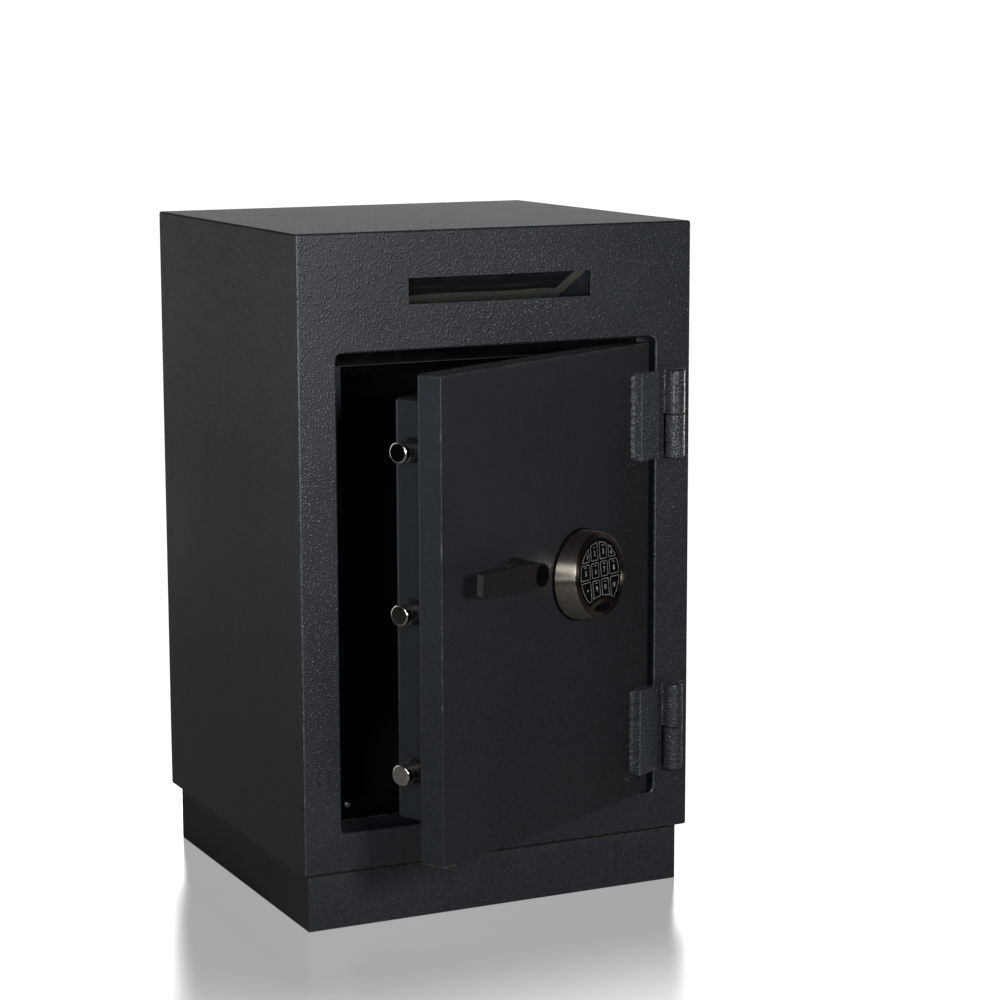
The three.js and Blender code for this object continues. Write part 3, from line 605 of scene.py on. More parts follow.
done(shell, "body", (), ["front_plate", "side_plate_left", "side_plate_right", "top_plate", "bottom_plate", "back_plate", "jamb_left", "jamb_right", "jamb_top", "jamb_bottom"])

def bead(name, a, b, r, seed, axis_up=(0, 0, 1), step=2.0, squash=0.7, sides=8):
    """wavy weld bead from a to b"""
    a, b = Vector(a), Vector(b)
    d = (b - a)
    length = d.length
    d.normalize()
    u = d.cross(Vector(axis_up)).normalized()
    v = u.cross(d)
    n = max(4, int(length / step))
    rings = []
    for i in range(n + 1):
        t = i / n
        p = a + d * length * t
        w = r * (0.8 + 0.45 * noise.noise(Vector((p.x * 0.35 + seed, p.y * 0.35, p.z * 0.35))) + 0.12 * math.sin(i * 2.1 + seed))
        if i in (0, n):
            w *= 0.5
        rings.append([tuple(p + u * (w * math.cos(k * 2 * math.pi / sides)) + v * (w * squash * math.sin(k * 2 * math.pi / sides))) for k in range(sides)])
    return loft(name, rings)

# bead where the sill meets the lower lip, and one up the lock-side lip
o = unite("jamb_weld_bead", [
    bead("t", (-176.6, -160.3, 102.6), (176.6, -160.3, 102.6), 1.3, 3.1),
    bead("t", (-176.4, -160.5, 104), (-176.4, -160.5, 581), 0.9, 7.7, (1, 0, 0)),
    bead("t", (176.4, -160.5, 104), (176.4, -160.5, 581), 0.9, 9.2, (1, 0, 0)),
    bead("t", (-176.6, -160.3, 582.3), (176.6, -160.3, 582.3), 0.9, 5.3)])
soften(o, angle=60)
done(o, "body", [WELD])

# plinth
def plinth_extra(m, col):
    x = m.xyz()
    # upright joint line on the front, stains and rust spots near the foot
    line = m.math("MULTIPLY", m.span(m.math("ABSOLUTE", m.math("SUBTRACT", x[0], m.math("ADD", 0.1387, m.math("MULTIPLY", m.noise(30.0), 0.0012)))), 0.0012, 0.0004), m.span(x[1], -0.188, -0.1893))
    line = m.math("MULTIPLY", line, m.span(x[2], 0.012, 0.022))
    col = m.mix(m.math("MULTIPLY", line, 0.75), col, (0.006, 0.006, 0.006))
    up = m.math("MULTIPLY", m.span(x[2], 0.046, 0.0595), m.span(m.noise(75.0, 4.0, 0.7), 0.40, 0.62))
    col = m.mix(m.math("MULTIPLY", up, 0.30), col, (0.085, 0.080, 0.070))
    # painted shadow: the plinth's top few millimetres, in the gap under the body, are painted near black
    gap_shadow = m.span(m.math("ADD", x[2], m.math("MULTIPLY", m.noise(55.0, 2.0, 0.6), 0.0008)), 0.0566, 0.0576)
    col = m.mix(gap_shadow, col, (0.0010, 0.0009, 0.0009))
    spot = m.math("MULTIPLY", m.span(m.noise(38.0, 3.0, 0.6), 0.68, 0.76), m.span(x[2], 0.03, 0.004))
    return m.mix(m.math("MULTIPLY", spot, 0.8), col, (0.15, 0.060, 0.022))
PAINT_PLINTH = hammertone("plinth_paint", (0.0156, 0.0172, 0.0225), (0.0236, 0.0260, 0.0336), pebble=420.0, depth=0.00013, rough=0.42, droplet_painted_light=0.22, marks_and_shade=plinth_extra)
PAINT_PLINTH_SIDE = hammertone("plinth_side_paint", (0.0056, 0.0038, 0.0028), (0.0098, 0.0068, 0.0050), pebble=200.0, depth=0.00010, rough=0.36, coat=0.05, spec=0.3, marks_and_shade=plinth_extra)
px, py0, py1 = W2 - 7.7, fy(10.3), 200 - 12.4
ring = block("plinth", -px, px, py0, py1, 0, 60.7)
combine(ring, "DIFFERENCE", block("t", -px + 4, px - 4, py0 + 4, py1 - 4, -1, 62))
ring.data.materials.append(PAINT_PLINTH)
ring.data.materials.append(PAINT_PLINTH_SIDE)
for p in ring.data.polygons:
    if abs(p.center.x * 1000) > px - 0.5:
        p.material_index = 1
soften(ring, 0.9, 3)
ring["keep_mats"] = 1
done(ring, "body", (), ["plinth_frame"])

# ------------------------------------------------------------------ hinges
def hinge_extra(m, col):
    x = m.xyz()
    # painted light: the hinge paint is brighter on the upper hinge and darker on the lower; then a broken light tan
    # line along the pad's right edge
    col = shade(m, col, m.span(x[2], 0.24, 0.46, 0.85, 1.6))
    line = m.math("MULTIPLY", m.span(x[0], 0.2106, 0.2112), m.span(m.noise(55.0, 4.0, 0.7), 0.38, 0.52))
    return m.mix(m.math("MULTIPLY", line, 0.75), col, (0.20, 0.18, 0.145))
def knuckle_swell(m):
    # the knuckles' paint is the coarsest, most of all on the frame halves
    x = m.xyz()
    return m.math("ADD", 1.0, m.math("MULTIPLY", m.span(x[1], -0.2030, -0.2060), 1.1))
PAINT_HINGE = hammertone("hinge_paint", (0.0200, 0.0245, 0.0310), (0.0295, 0.0360, 0.0450), pebble=300.0, depth=0.00055, coat=1.0, shine=0.17, marks_and_shade=hinge_extra, droplet_painted_light=0.45, swell=knuckle_swell)

def leaf_extra(m, col):
    x = m.xyz()
    # painted light and shade: brighter on the upper hinge, darker on the lower, and darker on the neck beside the
    # knuckle
    col = shade(m, col, m.math("MULTIPLY", m.span(x[2], 0.24, 0.46, 0.95, 1.32), m.span(x[0], 0.1765, 0.1790, 1.0, 0.80)))
    # painted highlight: a thin bright broken line down the leaf's front left edge
    line = m.math("MULTIPLY", m.span(m.math("ABSOLUTE", m.math("SUBTRACT", x[0], 0.1447)), 0.0012, 0.0004), m.span(x[1], -0.2030, -0.2037))
    line = m.math("MULTIPLY", line, m.span(m.noise(520.0, 2.0, 0.7), 0.36, 0.58, 0.3, 1.0))
    return m.mix(m.math("MULTIPLY", line, 0.7), col, (0.17, 0.19, 0.20))
def leaf_swell(m):
    x = m.xyz()
    return m.math("ADD", 0.8, m.math("MULTIPLY", m.span(x[0], 0.1830, 0.1860), 1.0))
PAINT_LEAF = hammertone("hinge_leaf_paint", (0.0235, 0.0290, 0.0365), (0.0345, 0.0425, 0.0530), pebble=300.0, depth=0.00055, coat=0.8, shine=0.17, marks_and_shade=leaf_extra, droplet_painted_light=0.40, swell=leaf_swell)

def hinge_knuckle(name, z0, z1):
    c = 0.9
    k = lathe(name, [(4.8, z0), (9.8 - c, z0)] + [(9.8 - c + c * math.sin(math.radians(t)), z0 + c - c * math.cos(math.radians(t))) for t in (30, 60, 90)]
              + [(9.8 - c + c * math.cos(math.radians(t)), z1 - c + c * math.sin(math.radians(t))) for t in (0, 30, 60, 90)] + [(4.8, z1)], 64, "Z", PIV, close=True)
    return k

def fillet(name, z0, z1):
    """painted weld between the leaf's side and the door's face"""
    rings = []
    n = int((z1 - z0) / 2.2)
    for i in range(n + 1):
        z = z0 + 0.4 + (z1 - z0 - 0.8) * i / n
        w = 4.0 + 0.7 * noise.noise(Vector((0.3, 1.7, z * 0.16))) + 0.35 * math.sin(i * 1.9)
        h = 4.3 + 0.8 * noise.noise(Vector((5.3, 0.7, z * 0.13)))
        if i in (0, n):
            w, h = w * 0.6, h * 0.6
        ring = [(144.9, fy(7.4), z), (144.9, fy(6.95 - h), z)]
        for t in (18, 36, 54, 72):
            a = math.radians(t)
            ring.append((144.9 - w * math.sin(a) ** 1.25, fy(6.95 - h * math.cos(a) ** 1.25), z))
        ring += [(144.9 - w, fy(6.95), z), (144.9 - w, fy(7.4), z)]
        rings.append(ring)
    return loft(name, rings)

for nm, z0, z1 in HINGES:
    mid = (z0 + z1) / 2 - 0.4
    # frame half
    pad = prism("t", [(188.5, fy(0)), (188.5, fy(-1.2)), (189.3, fy(-2)), (211.7, fy(-2)), (212.5, fy(-1.2)), (212.5, fy(0))], "Z", z0, z1)
    web = prism("t", [(189.6, fy(-1)), (200, fy(-1)), (200, fy(-8)), (190.2, fy(-8))], "Z", z0 + 0.1, mid - 0.6)
    combine(web, "DIFFERENCE", lathe("t", [(0, z0 - 5), (9.3, z0 - 5), (9.3, z1 + 5), (0, z1 + 5)], 48, "Z", PIV))
    o = unite("frame_hinge_half_" + nm, [pad, web, hinge_knuckle("t", z0 + 0.1, mid - 0.6)])
    soften(o, angle=35)
    done(o, "body", [PAINT_HINGE], ["frame_hinge_" + nm])
    # door half
    pts = [(144.5, fy(6.9)), (174, fy(6.9)), (174, fy(-0.7)), (187, fy(-0.7)), (187, fy(-2.9)), (179.6, fy(-2.9)), (178.6, fy(-3.3)), (177.6, fy(-4.0)), (176.8, fy(-4.2)), (144.5, fy(-4.2))]
    leaf = prism("t", pts, "Z", z0, z1)
    web = prism("t", [(178.4, fy(-2.9)), (178.4, fy(-0.9)), (187, fy(-0.9)), (188.2, fy(-2.3)), (194, fy(-2.6)), (194, fy(-8)), (189.2, fy(-5)), (186.6, fy(-2.9))], "Z", mid + 0.6, z1 - 0.1)
    o = combine(leaf, "UNION", web)
    combine(o, "DIFFERENCE", lathe("t", [(0, z0 - 5), (9.3, z0 - 5), (9.3, z1 + 5), (0, z1 + 5)], 48, "Z", PIV))
    soften(o, 0.55, 3, 28)
    bake_modifiers(o)
    o = unite("door_hinge_half_" + nm, [o, hinge_knuckle("t", mid + 0.6, z1 - 0.1)])
    o.data.set_sharp_from_angle(angle=math.radians(40))
    w = o.modifiers.new("normals", "WEIGHTED_NORMAL"); w.keep_sharp = True
    done(o, "door", [PAINT_LEAF], ["door_hinge_" + nm], AJAR)
    o = unite("hinge_weld_" + nm, [
        fillet("t", z0, z1),
        bead("t", (146.5, fy(6.2), z0 - 0.1), (172.0, fy(6.2), z0 - 0.1), 1.2, 4.0 + z0, (0, 0, 1), 1.6),
        bead("t", (146.5, fy(6.3), z1 + 0.1), (172.0, fy(6.3), z1 + 0.1), 0.9, 6.0 + z0, (0, 0, 1), 1.6)])
    soften(o, angle=70)
    done(o, "door", [WELD_PAINTED], (), AJAR)
    spots = []
    for k in range(9):
        a, b = noise.noise(Vector((k * 1.7, z0, 0.3))), noise.noise(Vector((0.7, k * 2.3, z0)))
        x, z, r = 134.5 + k * 2.1 + a * 1.5, z0 - 3.4 + b * 2.6, 0.75 + 0.35 * a
        spots.append(lathe("t", [(0, fy(7.1)), (r * 1.25, fy(7.1)), (r, fy(6.8)), (r * 0.6, fy(6.45)), (0, fy(6.35))], 9, "Y", (x, z)))
    o = unite("hinge_spatter_" + nm, spots)
    soften(o, angle=60)
    done(o, "door", [WELD], (), AJAR)

# ------------------------------------------------------------------ door
def door_extra(m, col):
    x = m.xyz()
    # bright rubbed line down the free front edge, brown wear by the top, brassy metal at the bottom corner
    edge = m.math("MULTIPLY", m.span(x[0], -0.1728, -0.17415), m.span(x[1], -0.1905, -0.1925))
    edge = m.math("MULTIPLY", edge, m.span(m.noise(60.0, 4.0, 0.75), 0.52, 0.66))
    col = m.mix(m.math("MULTIPLY", edge, 0.38), col, (0.20, 0.22, 0.24))
    low = m.math("MULTIPLY", m.span(x[2], 0.1068, 0.1050), m.span(m.noise(60.0, 3.0, 0.7), 0.35, 0.55))
    low = m.math("MULTIPLY", low, m.span(x[0], -0.150, -0.172))
    col = m.mix(m.math("MULTIPLY", low, 0.9), col, (0.33, 0.24, 0.10))
    top = m.math("MULTIPLY", m.span(x[2], 0.5745, 0.5778), m.span(m.noise(45.0, 4.0, 0.7), 0.42, 0.62))
    col = m.mix(m.math("MULTIPLY", top, 0.75), col, (0.060, 0.045, 0.034))
    # painted light and shade: darker towards the bottom and towards the hinge side, and darker again beside the
    # keypad on the hinge side
    col = shade(m, col, m.math("MULTIPLY", m.span(x[2], 0.12, 0.52, 0.78, 1.22), m.math("MULTIPLY", m.span(x[0], 0.05, 0.15, 1.0, 0.75), m.math("SUBTRACT", 1.0, m.math("MULTIPLY", m.math("MULTIPLY", m.span(x[0], 0.09, 0.14), m.near((None, None, 400), (1, 1, 110))), 0.35)))))
    mott = m.noise(330.0, 2.0, 0.6)
    col = m.mix(m.span(mott, 0.42, 0.60, 0.0, 0.4), col, (0.030, 0.022, 0.030))
    teal = m.noise(300.0, 2.0, 0.6, m.vec(offset=(0.3, 0.7, 0.1)))
    return m.mix(m.span(teal, 0.48, 0.62, 0.0, 0.35), col, (0.016, 0.032, 0.034))
PAINT_DOOR_F = hammertone("door_paint_front", (0.0110, 0.0116, 0.0160), (0.0160, 0.0169, 0.0222), pebble=430.0, depth=0.00007, rough=0.44, coat=0.08, grain=0.5, wear_amount=0.06, marks_and_shade=door_extra)
PAINT_DOOR_S = hammertone("door_paint_side", (0.0062, 0.0116, 0.0160), (0.0094, 0.0170, 0.0232), pebble=400.0, depth=0.00007, rough=0.42, coat=0.10, grain=0.5, wear_amount=0.05, marks_and_shade=door_extra)
def pan_extra(m, col):
    # painted shadow: darker close behind the door
    x = m.xyz()
    return shade(m, col, m.span(x[1], -0.168, -0.132, 0.08, 1.05))
PAINT_PAN = hammertone("bolt_pan_paint", (0.0070, 0.0128, 0.0172), (0.0106, 0.0187, 0.0250), pebble=400.0, depth=0.00007, rough=0.42, coat=0.06, grain=0.5, wear_amount=0.05, marks_and_shade=pan_extra)
o = slab("door_panel", -174.2, 174.0, 104.8, 578.4, fy(7), fy(36.4), 3.0, 0.9, 4.0, 6)
o.data.materials.append(PAINT_DOOR_F)
o.data.materials.append(PAINT_DOOR_S)
for p in o.data.polygons:
    if p.normal.y > -0.8:
        p.material_index = 1
soften(o, angle=40)
o["keep_mats"] = 1
done(o, "door", (), ["door_plate"], AJAR)

pan = slab("bolt_pan", -145.0, 140.0, 136.5, 549.5, fy(36.7), fy(88), 4.0, 0.3, 7.0, 7)
combine(pan, "DIFFERENCE", block("t", -142.5, 137.5, fy(30), fy(85.5), 139, 547))
combine(pan, "DIFFERENCE", *[lathe("t", [(0, -148), (11.3, -148), (11.3, -139), (0, -139)], 48, "X", (fy(BOLT_Y), z)) for z in BOLT_Z])
soften(pan, angle=40)
done(pan, "door", [PAINT_PAN], ["bolt_box"], AJAR)

# ------------------------------------------------------------------ bolts and collars
for i, z in enumerate(BOLT_Z):
    tip, R = -166.8, 10.8
    prof = [(0, tip), (R - 2.2, tip)] + [(R - 2.2 + 2.2 * math.sin(math.radians(t)), tip + 2.2 - 2.2 * math.cos(math.radians(t))) for t in (25, 45, 65, 90)]
    prof += [(R, -160.6), (R - 0.35, -160.2), (R - 0.35, -159.4), (R, -159.0), (R, -120.3), (0, -120.3)]
    o = lathe("bolt_pin_%d" % (i + 1), prof, 72, "X", (fy(BOLT_Y), z))
    o.data.materials.append(CHROME)
    o.data.materials.append(CHROME_FACES[i])
    for p in o.data.polygons:
        if p.normal.x < -0.98:
            p.material_index = 1
    soften(o, angle=30)
    o["keep_mats"] = 1
    done(o, "bolts", (), ["bolt_%d" % (i + 1)], AJAR)
    prof = [(11.1, -145.3), (12.4, -145.3), (12.4, -146.6), (12.1, -147.0), (11.7, -147.2), (11.1, -147.2)]
    o = lathe("bolt_collar_%d" % (i + 1), prof, 72, "X", (fy(BOLT_Y), z), close=True)
    soften(o, angle=40)
    done(o, "door", [COLLAR], ["bolt_bush_%d" % (i + 1)], AJAR)

# ------------------------------------------------------------------ handle
T, HY = 7.2, fy(-27.8)
outline = [(-95.2, 10.2), (-95.2, -10.2)] + [(-66, -11.4), (-37, -12.35)] + [(11.9 * math.sin(math.radians(a)), -11.9 * math.cos(math.radians(a))) for a in range(0, 181, 12)] + [(-37, 12.35), (-66, 11.4)]
lever = prism("lever", outline, "Y", HY, HY + T)
lever.data.transform(Matrix.Rotation(math.radians(3.05), 4, "Y"))
lever.data.transform(Matrix.Translation((HX / 1000, 0, HZ / 1000)))
back = HY + T
hub = lathe("t", [(0, back - 2), (11.5, back - 2), (11.9, back + 0.5), (12.4, fy(7) - 15), (13.0, fy(7) - 8), (14.2, fy(7) - 2.5), (14.2, fy(7) - 0.4), (0, fy(7) - 0.4)], 72, "Y", (HX, HZ))
combine(lever, "UNION", hub)
combine(lever, "DIFFERENCE", lathe("t", [(0, HY - 3), (10.8, HY - 3), (10.8, HY + 1.6), (0, HY + 1.6)], 72, "Y", (HX, HZ)))
soften(lever, 0.8, 3, 40)
done(lever, "handle", [BRONZE], ["handle_lever"], AJAR)
o = lathe("handle_cover", [(0, HY - 0.5), (8.8, HY - 0.5), (9.8, HY - 0.35), (10.3, HY + 0.1), (10.5, HY + 0.7), (10.5, HY + 1.4), (0, HY + 1.4)], 72, "Y", (HX, HZ))
soften(o, angle=30)
done(o, "handle", [BLACK], ["handle_cap"], AJAR)

# ------------------------------------------------------------------ keypad
H = KH
body = lathe("keypad_body", [(0, 1.0), (45.3, 1.0), (45.1, -3.0), (43.55, -H + 5.0), (43.0, -H + 1.7), (42.85, -H + 1.0), (42.6, -H + 0.6), (42.1, -H + 0.22), (41.4, -H), (38.0, -H), (37.3, -H + 0.15), (37.0, -H + 0.5), (37.0, -H + 2.9), (0, -H + 2.9)], 144)
LZ, LR = -69.4, 46.0
def disc_minus(cx, cz, R, keep):
    pass
# the lens-shaped land below the keys: part of the housing face
def lens_outline(r_disc, r_lens, n=36):
    # points of the disc's lower part cut by the lens circle
    zc = (r_disc ** 2 - r_lens ** 2 + LZ ** 2) / (2 * LZ)
    a = math.degrees(math.acos(max(-1, min(1, -zc / r_disc))))
    xs = r_disc * math.sin(math.radians(a))
    lower = [(r_disc * math.sin(math.radians(t)), -r_disc * math.cos(math.radians(t))) for t in [-a + 2 * a * i / n for i in range(n + 1)]]
    b = math.degrees(math.asin(xs / r_lens))
    upper = [(r_lens * math.sin(math.radians(t)), LZ + r_lens * math.cos(math.radians(t))) for t in [b - 2 * b * i / n for i in range(1, n)]]
    return lower + upper
land = prism("t", lens_outline(37.4, LR - 0.3), "Y", -H, -H + 3.2)
combine(body, "UNION", land)
oval_c, oval_a, oval_b = (0.4, -32.6), 15.3, 4.5
def oval(a, b, y0, y1, nm="t"):
    return prism(nm, [(oval_c[0] + a * math.cos(t * math.pi / 36), oval_c[1] + b * math.sin(t * math.pi / 36)) for t in range(72)], "Y", y0, y1)
combine(body, "DIFFERENCE", oval(oval_a, oval_b, -H - 1, -H + 0.6))
soften(body, 0.25, 2, 35)
# base trimmed flush with the door, whatever the lean
bake_modifiers(body)
trim = block("t", -70, 70, -2.0, 30, -70, 70)
trim.data.transform(Matrix.Rotation(KTILT, 4, "X"))
combine(body, "DIFFERENCE", trim)
body.data.set_sharp_from_angle(angle=math.radians(32))
w = body.modifiers.new("normals", "WEIGHTED_NORMAL"); w.keep_sharp = True
done(body, "door", [NICKEL], ["keypad_housing"], PAD)

o = lathe("keypad_seal", [(7, fy(7) - 0.3), (46.3, fy(7) - 0.3), (46.8, fy(7) - 0.6), (46.8, fy(7) - 1.3), (46.4, fy(7) - 1.7), (7, fy(7) - 1.7)], 120, "Y", (KX, KZ), close=True)
soften(o, angle=40)
done(o, "door", [RUBBER], ["keypad_gasket"], AJAR)

# badge left bare: black oval with a thin bright rim
rim = oval(15.0, 4.25, -H + 0.02, -H + 0.58, "badge_rim")
combine(rim, "DIFFERENCE", oval(14.2, 3.5, -H - 1, -H + 1))
fill = oval(14.15, 3.45, -H + 0.2, -H + 0.56)
o = unite("keypad_plain_badge", [rim, fill])
o.data.materials.append(BADGE)
o.data.materials.append(BADGE_RIM)
for p in o.data.polygons:
    c = p.center * 1000
    if ((c.x - oval_c[0]) / 14.17) ** 2 + ((c.z - oval_c[1]) / 3.47) ** 2 > 0.999:
        p.material_index = 1
soften(o, angle=40)
o["keep_mats"] = 1
done(o, "door", (), ["keypad_badge"], PAD)

# keys: each one a thin pad with its printed outline and its number
COL, ROW = [-40, -15.2, 0.1, 15.4, 40], [40, 14.1, -3.3, -40]
LABEL = ["1", "2", "3", "4", "5", "6", "7", "8", "star", "9", "0", "hash"]
GLYPH = {"star": "*", "hash": "#"}
SPOT = {"1": (-20.0, 20.2), "2": (-7.0, 22.6), "3": (8.0, 22.9), "4": (21.6, 20.0), "5": (-24.2, 4.6), "6": (-7.0, 4.4), "7": (8.0, 4.6), "8": (24.6, 4.2),
        "star": (-22.8, -12.8), "9": (-7.0, -13.0), "0": (7.8, -13.2), "hash": (23.0, -13.2)}
def clip(poly, inside, cross):
    out = []
    for i, p in enumerate(poly):
        q = poly[(i + 1) % len(poly)]
        if inside(p):
            out.append(p)
            if not inside(q):
                out.append(cross(p, q))
        elif inside(q):
            out.append(cross(p, q))
    return out
def bisect(inside):
    def cross(p, q):
        a, b = (p, q) if inside(p) else (q, p)
        for _ in range(40):
            mid = ((a[0] + b[0]) / 2, (a[1] + b[1]) / 2)
            if inside(mid):
                a = mid
            else:
                b = mid
        return a
    return cross
def key_outline(i, inset, n=120):
    """outline of key i moved inwards by inset"""
    c, r = i % 4, i // 4
    e, f = 1.2 + inset, 0.8 + inset
    R, L = 33.4 - inset, LR + 2.2 + inset
    disc = [(R * math.cos(2 * math.pi * k / n), R * math.sin(2 * math.pi * k / n)) for k in range(n)]
    tests = [lambda p: p[0] > COL[c] + e, lambda p: p[0] < COL[c + 1] - e, lambda p: p[1] > ROW[r + 1] + f, lambda p: p[1] < ROW[r] - f]
    poly = disc
    for t in tests:
        poly = clip(poly, t, bisect(t))
    # lower row: cut by the lens arc, followed with its own points
    if r == 2:
        inside = lambda p: math.hypot(p[0], p[1] - LZ) > L
        res = []
        for k, p in enumerate(poly):
            q = poly[(k + 1) % len(poly)]
            if inside(p):
                res.append(p)
                if not inside(q):
                    a = bisect(inside)(p, q)
                    res.append(a)
            elif inside(q):
                b = bisect(inside)(p, q)
                if res:
                    a = res[-1]
                    ta, tb = math.atan2(a[0], a[1] - LZ), math.atan2(b[0], b[1] - LZ)
                    for s in range(1, 8):
                        t = ta + (tb - ta) * s / 8
                        res.append((L * math.sin(t), LZ + L * math.cos(t)))
                res.append(b)
        poly = res
    out = []
    for p in poly:
        if not out or math.hypot(p[0] - out[-1][0], p[1] - out[-1][1]) > 0.05:
            out.append(p)
    if math.hypot(out[0][0] - out[-1][0], out[0][1] - out[-1][1]) < 0.05:
        out.pop()
    return out

def round_corners(poly, r, n=4):
    """short fillets at corners sharper than 25 degrees"""
    res = []
    m = len(poly)
    for i in range(m):
        a, b, c = Vector(poly[i - 1]), Vector(poly[i]), Vector(poly[(i + 1) % m])
        u, v = (a - b), (c - b)
        lu, lv = u.length, v.length
        turn = math.degrees(u.angle(v))
        if turn < 150:
            d = min(r, lu * 0.45, lv * 0.45)
            u, v = u.normalized() * d, v.normalized() * d
            for k in range(n + 1):
                t = k / n
                res.append(tuple(b + u * (1 - t) ** 2 + v * t ** 2))
        else:
            res.append(tuple(b))
    return res

def resample(poly, n):
    pts = [Vector(p) for p in poly] + [Vector(poly[0])]
    lens = [0.0]
    for a, b in zip(pts, pts[1:]):
        lens.append(lens[-1] + (b - a).length)
    out, k = [], 0
    for i in range(n):
        s = lens[-1] * i / n
        while lens[k + 1] < s:
            k += 1
        t = (s - lens[k]) / max(lens[k + 1] - lens[k], 1e-9)
        out.append(tuple(pts[k].lerp(pts[k + 1], t)))
    return out

def area_centre(poly):
    a = cx = cy = 0.0
    for (x0, y0), (x1, y1) in zip(poly, poly[1:] + poly[:1]):
        k = x0 * y1 - x1 * y0
        a += k; cx += (x0 + x1) * k; cy += (y0 + y1) * k
    return cx / (3 * a), cy / (3 * a)

def band(poly, width, y0, y1):
    """closed flat ribbon that follows poly, between it and its inward offset"""
    m = len(poly)
    orient = sum(p[0] * q[1] - q[0] * p[1] for p, q in zip(poly, poly[1:] + poly[:1]))
    sgn = 1 if orient > 0 else -1
    inner = []
    for i in range(m):
        a, b, c = Vector(poly[i - 1]), Vector(poly[i]), Vector(poly[(i + 1) % m])
        u, v = (b - a).normalized(), (c - b).normalized()
        nu, nv = Vector((-u.y, u.x)) * sgn, Vector((-v.y, v.x)) * sgn
        nn = (nu + nv).normalized()
        inner.append(tuple(b + nn * width / max(nn.dot(nu), 0.5)))
    verts = [(p[0], y0, p[1]) for p in poly] + [(p[0], y0, p[1]) for p in inner] + [(p[0], y1, p[1]) for p in poly] + [(p[0], y1, p[1]) for p in inner]
    faces = []
    for i in range(m):
        j = (i + 1) % m
        faces += [(i, j, m + j, m + i), (2 * m + i, 2 * m + j, 3 * m + j, 3 * m + i), (i, j, 2 * m + j, 2 * m + i), (m + i, m + j, 3 * m + j, 3 * m + i)]
    return mesh_object("t", verts, faces)

def glyph(text, size, cx, cz, y0, y1):
    cu = bpy.data.curves.new("t", "FONT")
    cu.body, cu.size, cu.align_x, cu.align_y = text, size / 1000, "CENTER", "CENTER"
    cu.extrude = abs(y1 - y0) / 2000
    cu.offset = 0.00002
    cu.resolution_u = 3
    ob = bpy.data.objects.new("t", cu)
    SCENE.collection.objects.link(ob)
    dg = bpy.context.evaluated_depsgraph_get()
    dg.update()
    me = bpy.data.meshes.new_from_object(ob.evaluated_get(dg))
    bpy.data.objects.remove(ob)
    me.transform(Matrix.Rotation(math.radians(90), 4, "X"))
    xs = [v.co.x for v in me.vertices]; zs = [v.co.z for v in me.vertices]
    me.transform(Matrix.Translation((cx / 1000 - (min(xs) + max(xs)) / 2, (y0 + y1) / 2000, cz / 1000 - (min(zs) + max(zs)) / 2)))
    bm = bmesh.new(); bm.from_mesh(me)
    bmesh.ops.remove_doubles(bm, verts=bm.verts, dist=2e-6)
    bm.to_mesh(me); bm.free()
    o = bpy.data.objects.new("t", me)
    SCENE.collection.objects.link(o)
    return o

for i, lab in enumerate(LABEL):
    base = round_corners(key_outline(i, 0.0), 1.6)
    cx, cz = area_centre(base)
    rings = []
    for inset, y in ((0.0, -H + 2.0), (0.0, -H + 0.95), (0.25, -H + 0.75), (0.6, -H + 0.70)):
        k = [(cx + (x - cx) * (1 - inset / 8), y, cz + (z - cz) * (1 - inset / 8)) for x, z in base]
        rings.append(k)
    pad = loft("t", rings)
    parts = [(pad, 0)]
    line = round_corners(key_outline(i, 0.35), 1.5)
    parts.append((band(line, 0.50, -H + 0.655, -H + 0.76), 2))
    sx, sz = SPOT[lab]
    parts.append((glyph(GLYPH.get(lab, lab), 7.4 if lab not in GLYPH else 7.0, sx, sz, -H + 0.655, -H + 0.72), 1))
    if lab not in ("1", "star", "hash"):
        # three small marks above the number
        for k in (-1, 0, 1):
            parts.append((prism("t", [(sx + k * 1.25 - 0.42, sz + 5.3), (sx + k * 1.25 + 0.42, sz + 5.3), (sx + k * 1.25 + 0.42, sz + 6.3), (sx + k * 1.25 - 0.42, sz + 6.3)], "Y", -H + 0.72, -H + 0.66), 2))
    bm = bmesh.new()
    for part, mi in parts:
        start = len(bm.faces)
        bm.from_mesh(part.data)
        bm.faces.ensure_lookup_table()
        for f in bm.faces[start:]:
            f.material_index = mi
        bpy.data.objects.remove(part)
    me = bpy.data.meshes.new("keycap_" + lab)
    bm.to_mesh(me); bm.free()
    o = bpy.data.objects.new("keycap_" + lab, me)
    SCENE.collection.objects.link(o)
    for m in (KEYS, PRINT, PRINT_LINE):
        me.materials.append(m)
    soften(o, angle=35)
    o["keep_mats"] = 1
    done(o, "key_%s_body" % lab, (), ["key_" + lab], PAD)

# ------------------------------------------------------------------ carried-over CAD nodes
CARRY = {
    "jamb_screw": ZINC, "bolt_strike_bar": STRIKE, "slot_deflector": DARK_STEEL, "fishing_baffle": BAFFLE_STEEL,
    "chute_wall_left": CHUTE_WALL, "chute_wall_right": CHUTE_WALL, "plinth_base_plate": PAINT_INSIDE,
    "hinge_pin_upper": ZINC, "hinge_pin_lower": ZINC, "hinge_washer_upper": RUST, "hinge_washer_lower": RUST,
    "lock_case": ZINC, "keypad_membrane": MEMBRANE, "handle_spindle": ZINC, "handle_cam": STRIKE, "bolt_bar": STRIKE, "lock_bolt": BRASS,
}
for nm, mat in CARRY.items():
    d = NODES[nm].data
    if len(d.materials) == 0:
        d.materials.append(mat)
    for k in range(len(d.materials)):
        d.materials[k] = mat

